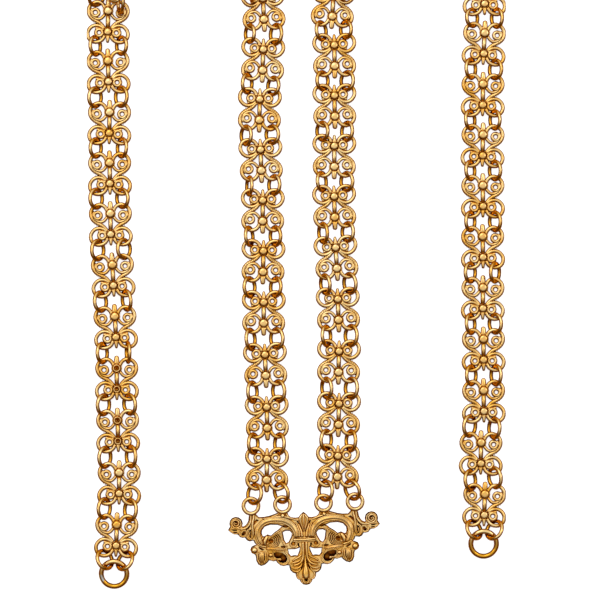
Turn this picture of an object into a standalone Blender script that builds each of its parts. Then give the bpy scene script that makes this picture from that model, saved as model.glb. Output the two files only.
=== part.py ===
"""Ceremonial chain of scroll links with a cast ornament, laid out flat.

Two strands of cast links start at the ornament, turn back above it and end in
a large ring each. Metres, +Z up, the strands run along Y. The origin lies on
the surface that the chain rests on, under the middle of its outline.

Each strand is one fused band: pierced link plates with raised bosses, joined
by pairs of tilted discs that fill the outline of the jump rings there. The
rings at the ornament and at the free ends are real ones, threaded through.
"""
import math

import bmesh
import bpy
from mathutils import Matrix, Vector

MM = 0.001

# Scroll link, measured from the middle between its two bosses
LINK_WIDTH = 14.7 * MM
LINK_THICK_END = 7.18 * MM
LINK_POINT_END = 7.74 * MM
LOBE_WIDTH = 6.0 * MM
LOBE_LENGTH = 6.96 * MM
LOBE_RIM = 0.88 * MM
WAIST_WIDTH = 8.6 * MM
PLATE_THICKNESS = 1.0 * MM
PLATE_UNDERSIDE = 1.75 * MM
STUB_WIDTH = 1.45 * MM
STUB_THICK_REACH = 7.45 * MM
STUB_POINT_REACH = 7.67 * MM
STUB_ROOT = 5.2 * MM
BOSS_SPACING = 7.14 * MM
BOSS_DIAMETER = 2.9 * MM
BOSS_HEIGHT = 1.1 * MM
LINKS_PER_STRAND = 26

# Jump rings between two links, and the larger ones at both ends of a strand
JUMP_DIAMETER = 7.0 * MM
JUMP_WIRE = 1.05 * MM
JUMP_TILT = math.radians(62.0)
END_JUMP_DIAMETER = 8.0 * MM
ORNAMENT_JUMP_TILT = math.radians(45.0)
ORNAMENT_JUMP_ASIDE = 0.45 * MM
END_JUMP_TILT = math.radians(48.0)
END_JUMP_ASIDE = 0.1 * MM

# Large ring at the free end of each strand
END_RING_DIAMETER = 10.8 * MM
END_RING_WIRE = 1.8 * MM
END_RING_NEAR_HEIGHT = 2.65 * MM
END_RING_JUMP_ANGLE = math.radians(35.0)

# Cast ornament
ORNAMENT_WIDTH = 52.2 * MM
ORNAMENT_DROP = 28.3 * MM
ORNAMENT_RELIEF = 3.4 * MM
ORNAMENT_TURN = math.radians(2.4)
EYE_DIAMETER = 6.4 * MM
EYE_WIRE = 1.05 * MM
EYE_HEIGHT = 2.2 * MM
EYE_OUTER_SPACING = 36.5 * MM
EYE_INNER_SPACING = 14.4 * MM

# Where the ornament's row of eyes and the two end rings lie
ORNAMENT_PLACE = (1.05, -71.35)
END_RING_PLACES = {"left": (-65.1, -95.9), "right": (64.3, -85.35)}

# Height of a resting link's middle in millimetres, and of the first and last
# link of a strand, which lie higher on the larger rings threaded through them
END_LINK_LIFT = 0.45 * MM
REST = (PLATE_UNDERSIDE + PLATE_THICKNESS / 2) / MM
RAISED = REST + END_LINK_LIFT / MM

# Routes of the two strands: a point is the centre of the link with that count,
# in millimetres, with its lean in degrees, and the last one ends the strand. Above the straight runs the strand
# tips up on its edge to turn back, because its links can't bend sideways.
STRAND_ROUTES = {
    "left": [
        # link, x, y, height, lean
        (0, -11.6, -59.3, RAISED, 0),
        (1, -11.55, -41.2, REST, 0),
        (3, -12.7, -4.5, REST, 0),
        (5, -13.05, 31.2, REST, 0),
        (7, -14.15, 66.55, REST, 0),
        (8, -13.0, 84.0, REST, 0),
        (9, -12.8, 101.8, REST, 0),
        (10, -14.6, 116.4, 4.9, 36),
        (11, -24.2, 128.0, 7.15, 71),
        (12, -40.3, 131.6, 7.4, 90),
        (13, -55.8, 124.6, 7.15, 71),
        (14, -65.4, 112.2, 4.9, 36),
        (15, -67.2, 97.5, REST, 0),
        (17, -66.7, 62.05, REST, 0),
        (19, -66.3, 26.6, REST, 0),
        (21, -64.6, -9.4, REST, 0),
        (23, -63.75, -45.7, REST, 0),
        (24, -63.3, -64.1, REST, 0),
        (25, -64.2, -82.3, RAISED, 0),
        (25.5, -64.8, -91.3, RAISED, 0),
    ],
    "right": [
        # link, x, y, height, lean
        (0, 13.15, -58.25, RAISED, 0),
        (1, 13.55, -40.0, REST, 0),
        (3, 13.35, -3.4, REST, 0),
        (5, 12.05, 32.55, REST, 0),
        (7, 12.1, 67.85, REST, 0),
        (8, 12.05, 85.5, REST, 0),
        (9, 11.5, 102.85, REST, 0),
        (10, 13.3, 117.6, 4.9, -36),
        (11, 22.7, 129.6, 7.15, -71),
        (12, 37.4, 137.4, 7.4, -90),
        (13, 53.4, 134.4, 7.15, -71),
        (14, 62.8, 122.2, 4.9, -36),
        (15, 64.6, 107.25, REST, 0),
        (17, 64.0, 71.85, REST, 0),
        (19, 64.0, 36.4, REST, 0),
        (21, 64.0, 0.65, REST, 0),
        (23, 64.3, -35.35, REST, 0),
        (24, 63.3, -53.6, REST, 0),
        (25, 64.55, -71.6, RAISED, 0),
        (25.5, 62.9, -80.6, RAISED, 0),
    ],
}

# The eyes as shares of the ornament: how far out each pair stands, and how far
# down the lowest wire of an eye is
OUTER_EYE_OUT = EYE_OUTER_SPACING / ORNAMENT_WIDTH
INNER_EYE_OUT = EYE_INNER_SPACING / ORNAMENT_WIDTH
EYE_FOOT = (EYE_DIAMETER - EYE_WIRE) / 2 / ORNAMENT_DROP

# Ornament members, one side of a mirrored pair. Places are shares of half the
# width outwards and of the drop downwards, widths are shares of the width and
# crests are shares of the relief.
SCROLL_MEMBERS = {
    "arch": [
        # out, down, half width, crest
        (0.030, 0.290, 0.022, 0.90),
        (0.20, 0.225, 0.022, 0.88),
        (0.336, 0.193, 0.022, 0.86),
        (0.474, 0.214, 0.022, 0.86),
        (0.575, 0.273, 0.023, 0.88),
        (0.612, 0.347, 0.028, 0.92),
        (0.600, 0.430, 0.030, 0.95),
        (0.540, 0.500, 0.024, 0.95),
    ],
    "shell_rim": [
        (0.250, 0.250, 0.010, 0.62),
        (0.330, 0.318, 0.010, 0.62),
        (0.290, 0.385, 0.011, 0.62),
        (0.265, 0.470, 0.012, 0.62),
    ],
    "cheek": [
        (0.590, 0.470, 0.030, 0.56),
        (0.500, 0.560, 0.062, 0.58),
        (0.345, 0.600, 0.044, 0.56),
    ],
    "ribbon": [
        (0.560, 0.555, 0.022, 0.72),
        (0.380, 0.555, 0.024, 0.72),
        (0.190, 0.505, 0.016, 0.66),
    ],
    "arm": [
        (OUTER_EYE_OUT, EYE_FOOT, 0.022, 0.62),
        (0.690, 0.190, 0.022, 0.64),
        (0.740, 0.262, 0.023, 0.70),
        (0.830, 0.285, 0.022, 0.74),
        (0.905, 0.235, 0.020, 0.74),
    ],
    "arm_leaf": [
        (0.640, 0.410, 0.018, 0.55),
        (0.735, 0.370, 0.034, 0.62),
        (0.850, 0.340, 0.030, 0.60),
        (1.000, 0.295, 0.006, 0.50),
    ],
    "outer_web": [
        (0.690, 0.160, 0.022, 0.60),
        (0.560, 0.235, 0.020, 0.60),
    ],
    "eye_flare": [
        (INNER_EYE_OUT, EYE_FOOT, 0.024, 0.62),
        (INNER_EYE_OUT, 0.190, 0.058, 0.70),
    ],
}
SCROLL_DOMES = {
    # out, down, half width, half height, crest
    "shell": (0.405, 0.450, 0.060, 0.054, 0.86),
    "dark_volute": (0.305, 0.668, 0.056, 0.054, 0.84),
    "ball_volute": (0.660, 0.548, 0.032, 0.032, 0.70),
    "drop_leaf": (0.585, 0.655, 0.041, 0.056, 0.72),
    "drop_bead": (0.455, 0.645, 0.032, 0.030, 0.60),
    "arm_volute": (0.915, 0.208, 0.040, 0.040, 0.78),
    "collar_volute": (0.148, 0.490, 0.028, 0.024, 0.70),
    "side_leaf": (0.132, 0.745, 0.047, 0.056, 0.80),
}
CENTRE_MEMBERS = {
    "bud": [
        # out, down, half width, crest
        (0.0, 0.114, 0.003, 0.55),
        (0.0, 0.180, 0.036, 0.92),
        (0.0, 0.330, 0.020, 1.00),
    ],
    "throat": [
        (0.0, 0.230, 0.050, 0.84),
        (0.0, 0.330, 0.064, 0.90),
        (0.0, 0.435, 0.066, 0.90),
    ],
    "stem": [
        (0.0, 0.420, 0.020, 0.84),
        (0.0, 0.600, 0.018, 0.92),
        (0.0, 0.760, 0.012, 0.96),
    ],
    "tip_leaf": [
        (0.0, 0.680, 0.030, 0.70),
        (0.0, 0.800, 0.060, 0.78),
        (0.0, 0.880, 0.054, 0.78),
        (0.0, 0.955, 0.034, 0.70),
        (0.0, 1.000, 0.010, 0.55),
    ],
}
COLLAR_HALF_WIDTH = 0.070
COLLAR_DOWN = 0.435
COLLAR_HALF_HEIGHT = 0.018

# Facets and small allowances
RING_SIDES = 12
END_RING_SIDES = 12
WIRE_SIDES = 5
DISC_SIDES = 6
BOSS_SIDES = 4
DOME_SIDES = 7
HOLE_SIDES = 10
BEAD_SIDES = 5
BEAD_LIMIT = 0.035
LOBE_ARC_STEPS = 3
SINK = 0.6 * MM

# The angles in degrees that a lobe's outline runs between, the share of its
# foot that the top of a boss or dome keeps, and the share of its crest that a
# member has along both edges
LOBE_ARC = (150.0, -62.0)
BOSS_TOP_SHARE = 0.72
DOME_TOP_SHARE = 0.62
MEMBER_SHOULDER = 0.62

SIDES = (-1.0, 1.0)


def gold_material(name, colour, roughness):
    """A Principled gold of the given colour."""
    material = bpy.data.materials.new(name)
    material.use_nodes = True
    shader = material.node_tree.nodes["Principled BSDF"]
    shader.inputs["Base Color"].default_value = (*colour, 1.0)
    shader.inputs["Metallic"].default_value = 1.0
    shader.inputs["Roughness"].default_value = roughness
    return material


def object_from(bm, name):
    """A scene object made of the bmesh, with its faces pointing out."""
    bmesh.ops.recalc_face_normals(bm, faces=bm.faces)
    mesh = bpy.data.meshes.new(name)
    bm.to_mesh(mesh)
    bm.free()
    obj = bpy.data.objects.new(name, mesh)
    bpy.context.scene.collection.objects.link(obj)
    return obj


def combine(target, operand, operation):
    """Apply one exact Boolean of the operand to the target, and drop the operand."""
    modifier = target.modifiers.new(operation.lower(), "BOOLEAN")
    modifier.operation = operation
    modifier.solver = "EXACT"
    modifier.object = operand
    graph = bpy.context.evaluated_depsgraph_get()
    result = bpy.data.meshes.new_from_object(target.evaluated_get(graph))
    target.modifiers.remove(modifier)
    target.data = result
    bpy.data.objects.remove(operand)


def smooth_route(rows, count):
    """The route's values and their slopes at this link count, on a smooth curve."""
    last = len(rows) - 1
    slopes = []
    for index in range(len(rows)):
        low = rows[max(index - 1, 0)]
        high = rows[min(index + 1, last)]
        step = high[0] - low[0]
        # Height and lean ease in and out at each row, so neither overshoots.
        slopes.append(Vector(((high[1] - low[1]) / step, (high[2] - low[2]) / step, 0, 0)))
    index = 0
    while index < last - 1 and count > rows[index + 1][0]:
        index += 1
    span = rows[index + 1][0] - rows[index][0]
    s = (count - rows[index][0]) / span
    start, end = Vector(rows[index][1:]), Vector(rows[index + 1][1:])
    out, into = slopes[index] * span, slopes[index + 1] * span
    value = (
        start * (2 * s**3 - 3 * s**2 + 1)
        + out * (s**3 - 2 * s**2 + s)
        + end * (3 * s**2 - 2 * s**3)
        + into * (s**3 - s**2)
    )
    slope = (
        start * (6 * s**2 - 6 * s)
        + out * (3 * s**2 - 4 * s + 1)
        + end * (6 * s - 6 * s**2)
        + into * (3 * s**2 - 2 * s)
    )
    return value, slope


def strand_frame(rows, count):
    """The frame at this link count: X across, Y along the strand, Z out of its face."""
    value, slope = smooth_route(rows, count)
    along = Vector(slope[:3]).normalized()
    level = along.cross(Vector((0, 0, 1))).normalized()
    front = level.cross(along)
    lean = math.radians(value[3])
    across = level * math.cos(lean) - front * math.sin(lean)
    face = across.cross(along)
    frame = Matrix((across, along, face)).transposed().to_4x4()
    frame.translation = Vector(value[:3]) * MM
    return frame


def lobe_centre(side, end):
    """Centre of one of a link's four lobes: side is -1 or 1, end -1 thick, 1 pointed."""
    reach = LINK_POINT_END if end > 0 else LINK_THICK_END
    return Vector((side * (LINK_WIDTH - LOBE_WIDTH) / 2, end * (reach - LOBE_LENGTH / 2), 0))


def thread_point(frame, side, end):
    """Where a jump ring wraps the lobe's outer wire."""
    reach = LINK_POINT_END if end > 0 else LINK_THICK_END
    return frame @ Vector((lobe_centre(side, end).x, end * (reach - LOBE_RIM / 2), 0))


def quarter_outline(end):
    """Right-hand outline of half a link, from the stub to the waist."""
    points = [(STUB_WIDTH / 2, end * STUB_ROOT)]
    if end < 0:
        points.insert(0, (STUB_WIDTH / 2, -STUB_THICK_REACH))
    centre = lobe_centre(1, end)
    start, stop = (math.radians(value) for value in LOBE_ARC)
    for step in range(LOBE_ARC_STEPS + 1):
        angle = start + (stop - start) * step / LOBE_ARC_STEPS
        across = centre.x + LOBE_WIDTH / 2 * math.cos(angle)
        along = centre.y + end * LOBE_LENGTH / 2 * math.sin(angle)
        points.append((across, along))
    return points


def link_outline():
    """The link's outline, once round."""
    upper, lower = quarter_outline(1), quarter_outline(-1)
    right = upper + [(WAIST_WIDTH / 2, 0.0)] + lower[::-1]
    left = [(-across, along) for across, along in right[::-1]]
    return [(0.0, STUB_POINT_REACH)] + right + left


def add_prism(bm, outline, low, high, frame):
    """A closed prism of a flat outline between two heights, set in the frame."""
    verts = [bm.verts.new((across, along, low)) for across, along in outline]
    base = bm.faces.new(verts)
    grown = bmesh.ops.extrude_face_region(bm, geom=[base], use_keep_orig=True)
    top = [item for item in grown["geom"] if isinstance(item, bmesh.types.BMVert)]
    bmesh.ops.translate(bm, verts=top, vec=(0, 0, high - low))
    bmesh.ops.transform(bm, matrix=frame, verts=verts + top)


def add_cone(bm, sides, low_radius, high_radius, depth, frame):
    """A closed frustum standing on the frame's own plane."""
    bmesh.ops.create_cone(
        bm,
        cap_ends=True,
        segments=sides,
        radius1=low_radius,
        radius2=high_radius,
        depth=depth,
        matrix=frame @ Matrix.Translation((0, 0, depth / 2)),
    )


def ring_shape(frame, diameter, wire, sides):
    """A bmesh of a round ring of round wire in the frame's XY plane."""
    bm = bmesh.new()
    middle = Matrix.Translation(((diameter - wire) / 2, 0, 0))
    upright = Matrix.Rotation(math.pi / 2, 4, "X")
    bmesh.ops.create_circle(bm, segments=WIRE_SIDES, radius=wire / 2, matrix=middle @ upright)
    bmesh.ops.spin(
        bm,
        geom=bm.verts[:] + bm.edges[:],
        cent=(0, 0, 0),
        axis=(0, 0, 1),
        angle=2 * math.pi,
        steps=sides,
        use_merge=True,
    )
    bmesh.ops.transform(bm, matrix=frame, verts=bm.verts)
    return bm


def tilted_frame(centre, along, tilt, side):
    """A frame at the centre whose plane holds 'along' and rises to the given side."""
    level = along.cross(Vector((0, 0, 1))).normalized()
    rise = level * side * math.cos(tilt) + level.cross(along) * math.sin(tilt)
    frame = Matrix((along, rise, along.cross(rise))).transposed().to_4x4()
    frame.translation = centre
    return frame


def junction_disc(rows, count, side):
    """Frame and radius of the disc that fills one jump ring between two links."""
    frame = strand_frame(rows, count)
    mean_radius = (JUMP_DIAMETER - JUMP_WIRE) / 2
    plate_middle = PLATE_UNDERSIDE + PLATE_THICKNESS / 2
    lift = mean_radius * math.sin(JUMP_TILT) + JUMP_WIRE / 2 - plate_middle
    across = lobe_centre(side, 1).x
    tilt = Matrix.Rotation(-side * JUMP_TILT, 4, "Y")
    place = Matrix.Translation((across, 0, lift))
    half_height = mean_radius * math.sin(JUMP_TILT) + JUMP_WIRE / 2
    radius = (half_height - JUMP_WIRE / 2 * math.cos(JUMP_TILT)) / math.sin(JUMP_TILT)
    return frame @ place @ tilt, radius


def build_strand(side_name, material):
    """One strand: link plates, ring discs and bosses fused into one band."""
    rows = STRAND_ROUTES[side_name]
    outline = link_outline()
    plates, discs, bosses, cutters = (bmesh.new() for _ in range(4))
    half = PLATE_THICKNESS / 2
    for count in range(LINKS_PER_STRAND):
        frame = strand_frame(rows, count)
        add_prism(plates, outline, -half, half, frame)
        for end in SIDES:
            boss = frame @ Matrix.Translation((0, end * BOSS_SPACING / 2, 0))
            top = BOSS_DIAMETER / 2 * BOSS_TOP_SHARE
            add_cone(bosses, BOSS_SIDES, BOSS_DIAMETER / 2, top, half + BOSS_HEIGHT, boss)
    for count in range(LINKS_PER_STRAND - 1):
        for side in SIDES:
            frame, radius = junction_disc(rows, count + 0.5, side)
            base = frame @ Matrix.Translation((0, 0, -JUMP_WIRE / 2))
            add_cone(discs, DISC_SIDES, radius, radius, JUMP_WIRE, base)
    # The flats of each hole lie on the oval, so that its corners reach past it.
    past = 1 / math.cos(math.pi / HOLE_SIDES)
    hole_size = Vector((LOBE_WIDTH / 2 - LOBE_RIM, LOBE_LENGTH / 2 - LOBE_RIM, 1 / past)) * past
    for count, end in ((0, -1), (LINKS_PER_STRAND - 1, 1)):
        for side in SIDES:
            hole = Matrix.Translation(lobe_centre(side, end) - Vector((0, 0, PLATE_THICKNESS)))
            frame = strand_frame(rows, count) @ hole @ Matrix.Diagonal((*hole_size, 1))
            add_cone(cutters, HOLE_SIDES, 1, 1, 2 * PLATE_THICKNESS, frame)
    band = object_from(plates, "chain_" + side_name)
    combine(band, object_from(discs, "discs"), "UNION")
    combine(band, object_from(bosses, "bosses"), "UNION")
    combine(band, object_from(cutters, "cutters"), "DIFFERENCE")
    band.data.materials.clear()
    band.data.materials.append(material)
    return band


def ornament_frame():
    """X across the ornament, Y up it, from the middle of its row of eyes."""
    place = Matrix.Translation((ORNAMENT_PLACE[0] * MM, ORNAMENT_PLACE[1] * MM, 0))
    return place @ Matrix.Rotation(ORNAMENT_TURN, 4, "Z")


def eye_places():
    """Across the ornament, the middle of each eye."""
    outer, inner = EYE_OUTER_SPACING / 2, EYE_INNER_SPACING / 2
    return (-outer, -inner, inner, outer)


def ornament_point(out, down, side=1.0):
    """A place on the ornament from its shares of half width and drop."""
    return Vector((side * out * ORNAMENT_WIDTH / 2, -down * ORNAMENT_DROP, 0))


def add_member(bm, rows, side=1.0):
    """A raised bar of varying width along the rows, with a ridged top."""
    points = [ornament_point(row[0], row[1], side) for row in rows]
    loops = []
    for index, row in enumerate(rows):
        ahead = points[min(index + 1, len(points) - 1)]
        behind = points[max(index - 1, 0)]
        along = (ahead - behind).normalized()
        across = Vector((-along.y, along.x, 0))
        half = row[2] * ORNAMENT_WIDTH
        crest = row[3] * ORNAMENT_RELIEF
        shoulder = crest * MEMBER_SHOULDER
        profile = [(-1, -SINK), (-1, shoulder), (0, crest), (1, shoulder), (1, -SINK)]
        section = [
            bm.verts.new(points[index] + across * half * share + Vector((0, 0, height)))
            for share, height in profile
        ]
        loops.append(section)
    for first, second in zip(loops, loops[1:]):
        for step in range(len(first)):
            ring = (step + 1) % len(first)
            bm.faces.new((first[step], first[ring], second[ring], second[step]))
    bm.faces.new(loops[0][::-1])
    bm.faces.new(loops[-1])


def add_dome(bm, row, side):
    """A raised boss with an oval foot and a smaller flat top."""
    out, down, half_width, half_height, crest = row
    foot = Matrix.Translation(ornament_point(out, down, side) - Vector((0, 0, SINK)))
    size = Matrix.Diagonal((half_width * ORNAMENT_WIDTH, half_height * ORNAMENT_WIDTH, 1, 1))
    sides = BEAD_SIDES if half_width < BEAD_LIMIT else DOME_SIDES
    add_cone(bm, sides, 1.0, DOME_TOP_SHARE, crest * ORNAMENT_RELIEF + SINK, foot @ size)


def build_ornament(material):
    """The pierced casting with its four eyes, as one solid with a flat back."""
    shapes = []
    for name, rows in CENTRE_MEMBERS.items():
        bm = bmesh.new()
        add_member(bm, rows)
        shapes.append((name, bm))
    bm = bmesh.new()
    half = COLLAR_HALF_WIDTH * ORNAMENT_WIDTH
    rise = COLLAR_HALF_HEIGHT * ORNAMENT_WIDTH
    middle = -COLLAR_DOWN * ORNAMENT_DROP
    corners = [(-half, middle - rise), (half, middle - rise), (half, middle + rise), (-half, middle + rise)]
    add_prism(bm, corners, -SINK, ORNAMENT_RELIEF, Matrix())
    shapes.append(("collar", bm))
    for side in SIDES:
        for name, rows in SCROLL_MEMBERS.items():
            bm = bmesh.new()
            add_member(bm, rows, side)
            shapes.append((name, bm))
        for name, row in SCROLL_DOMES.items():
            bm = bmesh.new()
            add_dome(bm, row, side)
            shapes.append((name, bm))
    for across in eye_places():
        place = Matrix.Translation((across, 0, EYE_HEIGHT))
        shapes.append(("eye", ring_shape(place, EYE_DIAMETER, EYE_WIRE, RING_SIDES)))
    casting = object_from(shapes[0][1], "ornament")
    for name, bm in shapes[1:]:
        combine(casting, object_from(bm, name), "UNION")
    below = bmesh.new()
    reach = ORNAMENT_WIDTH
    corners = [(-reach, -reach), (reach, -reach), (reach, reach), (-reach, reach)]
    add_prism(below, corners, -4 * SINK, 0.0, Matrix())
    combine(casting, object_from(below, "below"), "DIFFERENCE")
    casting.data.transform(ornament_frame())
    casting.data.materials.clear()
    casting.data.materials.append(material)
    return casting


def build_jump_ring(name, first, second, tilt, aside, side, material):
    """A jump ring through two eyes or lobes, leaning over and touching the surface."""
    along = Vector((second.x - first.x, second.y - first.y, 0)).normalized()
    centre = (first + second) / 2 + along.cross(Vector((0, 0, 1))) * side * aside
    centre.z = (END_JUMP_DIAMETER - JUMP_WIRE) / 2 * math.sin(tilt) + JUMP_WIRE / 2
    frame = tilted_frame(centre, along, tilt, side)
    ring = object_from(ring_shape(frame, END_JUMP_DIAMETER, JUMP_WIRE, RING_SIDES), name)
    ring.data.materials.append(material)
    return ring


def end_ring_frame(side_name):
    """The end ring's frame: Y points at the last link, and that side is raised."""
    x, y = END_RING_PLACES[side_name]
    centre = Vector((x * MM, y * MM, (END_RING_WIRE / 2 + END_RING_NEAR_HEIGHT) / 2))
    last = strand_frame(STRAND_ROUTES[side_name], LINKS_PER_STRAND - 1).translation
    turn = math.atan2(centre.x - last.x, last.y - centre.y)
    mean_radius = (END_RING_DIAMETER - END_RING_WIRE) / 2
    slope = math.asin((END_RING_NEAR_HEIGHT - END_RING_WIRE / 2) / (2 * mean_radius))
    turned = Matrix.Rotation(turn, 4, "Z") @ Matrix.Rotation(slope, 4, "X")
    return Matrix.Translation(centre) @ turned


def build_end(side_name, ring_material, jump_material):
    """The large ring of a free end and the two jump rings that carry it."""
    made = []
    frame = end_ring_frame(side_name)
    shape = ring_shape(frame, END_RING_DIAMETER, END_RING_WIRE, END_RING_SIDES)
    ring = object_from(shape, "end_ring_" + side_name)
    ring.data.materials.append(ring_material)
    made.append(ring)
    last = strand_frame(STRAND_ROUTES[side_name], LINKS_PER_STRAND - 1)
    mean_radius = (END_RING_DIAMETER - END_RING_WIRE) / 2
    labels = ("inner", "outer") if side_name == "left" else ("outer", "inner")
    for side, label in zip(SIDES, labels):
        first = thread_point(last, side, 1)
        angle = side * END_RING_JUMP_ANGLE
        # The strand's right-hand side is the end ring's left-hand side.
        second = frame @ Vector((-mean_radius * math.sin(angle), mean_radius * math.cos(angle), 0))
        name = "end_jump_ring_" + side_name + "_" + label
        ring = build_jump_ring(
            name, first, second, END_JUMP_TILT, END_JUMP_ASIDE, side, jump_material
        )
        made.append(ring)
    return made


def build_ornament_rings(material):
    """The four jump rings that hang the ornament on the two strands."""
    made = []
    frame = ornament_frame()
    eyes = [frame @ Vector((across, 0, EYE_HEIGHT)) for across in eye_places()]
    threads = []
    for side_name in ("left", "right"):
        first = strand_frame(STRAND_ROUTES[side_name], 0)
        threads += [thread_point(first, side, -1) for side in SIDES]
    mean_radius = (EYE_DIAMETER - EYE_WIRE) / 2
    for number, (eye, thread) in enumerate(zip(eyes, threads), start=1):
        towards = Vector((thread.x - eye.x, thread.y - eye.y, 0)).normalized()
        name = "ornament_jump_ring_" + str(number)
        start = eye + towards * mean_radius
        ring = build_jump_ring(
            name, start, thread, ORNAMENT_JUMP_TILT, ORNAMENT_JUMP_ASIDE, 1.0, material
        )
        made.append(ring)
    return made


def set_origin(objects):
    """Move everything so that the origin lies under the middle of the outline."""
    points = [vert.co for obj in objects for vert in obj.data.vertices]
    low = Vector([min(point[axis] for point in points) for axis in range(3)])
    high = Vector([max(point[axis] for point in points) for axis in range(3)])
    middle = Vector(((low.x + high.x) / 2, (low.y + high.y) / 2, low.z))
    for obj in objects:
        obj.data.transform(Matrix.Translation(-middle))
        obj.data.update()


def main():
    for obj in list(bpy.data.objects):
        bpy.data.objects.remove(obj)
    chain_gold = gold_material("chain_gold", (0.83, 0.56, 0.16), 0.26)
    cast_gold = gold_material("cast_gold", (0.86, 0.60, 0.20), 0.30)
    wire_gold = gold_material("wire_gold", (0.80, 0.52, 0.15), 0.22)
    objects = [build_strand("left", chain_gold), build_strand("right", chain_gold)]
    objects.append(build_ornament(cast_gold))
    objects += build_ornament_rings(wire_gold)
    for side_name in ("left", "right"):
        objects += build_end(side_name, wire_gold, wire_gold)
    set_origin(objects)


main()
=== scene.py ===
"""Gives a gilt clergy chain its looks: scroll links, jump rings, cast ornament, gold and stage."""

import math
import random

import bmesh
import bpy
from mathutils import Matrix, Vector


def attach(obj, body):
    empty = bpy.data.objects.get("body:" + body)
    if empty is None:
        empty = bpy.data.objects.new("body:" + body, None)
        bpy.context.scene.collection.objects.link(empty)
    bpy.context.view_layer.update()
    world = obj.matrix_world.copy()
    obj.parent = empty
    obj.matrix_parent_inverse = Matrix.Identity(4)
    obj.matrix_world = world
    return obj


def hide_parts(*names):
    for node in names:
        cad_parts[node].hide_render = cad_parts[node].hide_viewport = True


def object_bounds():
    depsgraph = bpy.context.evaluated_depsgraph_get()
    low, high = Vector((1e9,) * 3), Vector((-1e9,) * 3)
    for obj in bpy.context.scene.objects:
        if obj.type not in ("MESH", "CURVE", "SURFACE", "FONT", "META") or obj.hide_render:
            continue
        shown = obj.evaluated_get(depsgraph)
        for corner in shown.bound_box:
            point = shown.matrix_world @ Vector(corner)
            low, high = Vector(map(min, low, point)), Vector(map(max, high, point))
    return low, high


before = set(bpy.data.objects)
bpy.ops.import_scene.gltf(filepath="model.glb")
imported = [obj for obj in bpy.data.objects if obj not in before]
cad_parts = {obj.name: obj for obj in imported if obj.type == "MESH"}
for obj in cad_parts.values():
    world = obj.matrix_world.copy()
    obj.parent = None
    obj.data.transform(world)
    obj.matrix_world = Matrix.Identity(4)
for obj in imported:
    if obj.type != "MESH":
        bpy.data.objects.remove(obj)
CAD_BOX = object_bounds()

bl_info = {
    "name": "Clergy chain",
    "version": (1, 0, 0),
    "blender": (4, 5, 0),
    "location": "3D View > Sidebar > Clergy chain",
    "description": "Models and gilds a clergy chain of scroll links on its CAD frame",
    "category": "Add Mesh",
}

MM = 0.001
SIDES = (-1, 1)
STRANDS = ("left", "right")

# The links and the ornament are drawn on a grid of this size.
GRID = 0.35 * MM

# Where the middle of the drawing that the strands follow lies in the model
DRAWING_MIDDLE = Vector((1.3048, -20.3377, 0)) * MM

# Height of a resting link's middle in millimetres, and of the first and last link
REST = 2.25
RAISED = 2.7

# Place in millimetres and turn in degrees of the ornament's row of eyes
ORNAMENT_PLACE = (1.05, -71.35, 0)
ORNAMENT_TURN = 2.4

LINKS_PER_STRAND = 26
# Links that stand on edge at the turns are this much narrower, so that they stay in the solids' height
EDGE_SQUEEZE = 0.055

# Routes of the strands: link count, x, y and height in millimetres, lean in degrees
STRAND_ROUTES = {
    "left": [
        (0, -11.6, -59.3, RAISED, 0),
        (1, -11.55, -41.2, REST, 0),
        (3, -12.7, -4.5, REST, 0),
        (5, -13.05, 31.2, REST, 0),
        (7, -14.15, 66.55, REST, 0),
        (8, -13.0, 84.0, REST, 0),
        (9, -12.8, 101.8, REST, 0),
        (10, -14.6, 116.4, 4.9, 36),
        (11, -24.2, 128.0, 7.15, 71),
        (12, -40.3, 131.6, 7.4, 90),
        (13, -55.8, 124.6, 7.15, 71),
        (14, -65.4, 112.2, 4.9, 36),
        (15, -67.2, 97.5, REST, 0),
        (17, -66.7, 62.05, REST, 0),
        (19, -66.3, 26.6, REST, 0),
        (21, -64.6, -9.4, REST, 0),
        (23, -63.75, -45.7, REST, 0),
        (24, -63.3, -64.1, REST, 0),
        (25, -64.2, -82.3, RAISED, 0),
        (25.5, -64.8, -91.3, RAISED, 0),
    ],
    "right": [
        (0, 13.15, -58.25, RAISED, 0),
        (1, 13.55, -40.0, REST, 0),
        (3, 13.35, -3.4, REST, 0),
        (5, 12.05, 32.55, REST, 0),
        (7, 12.1, 67.85, REST, 0),
        (8, 12.05, 85.5, REST, 0),
        (9, 11.5, 102.85, REST, 0),
        (10, 13.3, 117.6, 4.9, -36),
        (11, 22.7, 129.6, 7.15, -71),
        (12, 37.4, 137.4, 7.4, -90),
        (13, 53.4, 134.4, 7.15, -71),
        (14, 62.8, 122.2, 4.9, -36),
        (15, 64.6, 107.25, REST, 0),
        (17, 64.0, 71.85, REST, 0),
        (19, 64.0, 36.4, REST, 0),
        (21, 64.0, 0.65, REST, 0),
        (23, 64.3, -35.35, REST, 0),
        (24, 63.3, -53.6, REST, 0),
        (25, 64.55, -71.6, RAISED, 0),
        (25.5, 62.9, -80.6, RAISED, 0),
    ],
}

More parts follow.
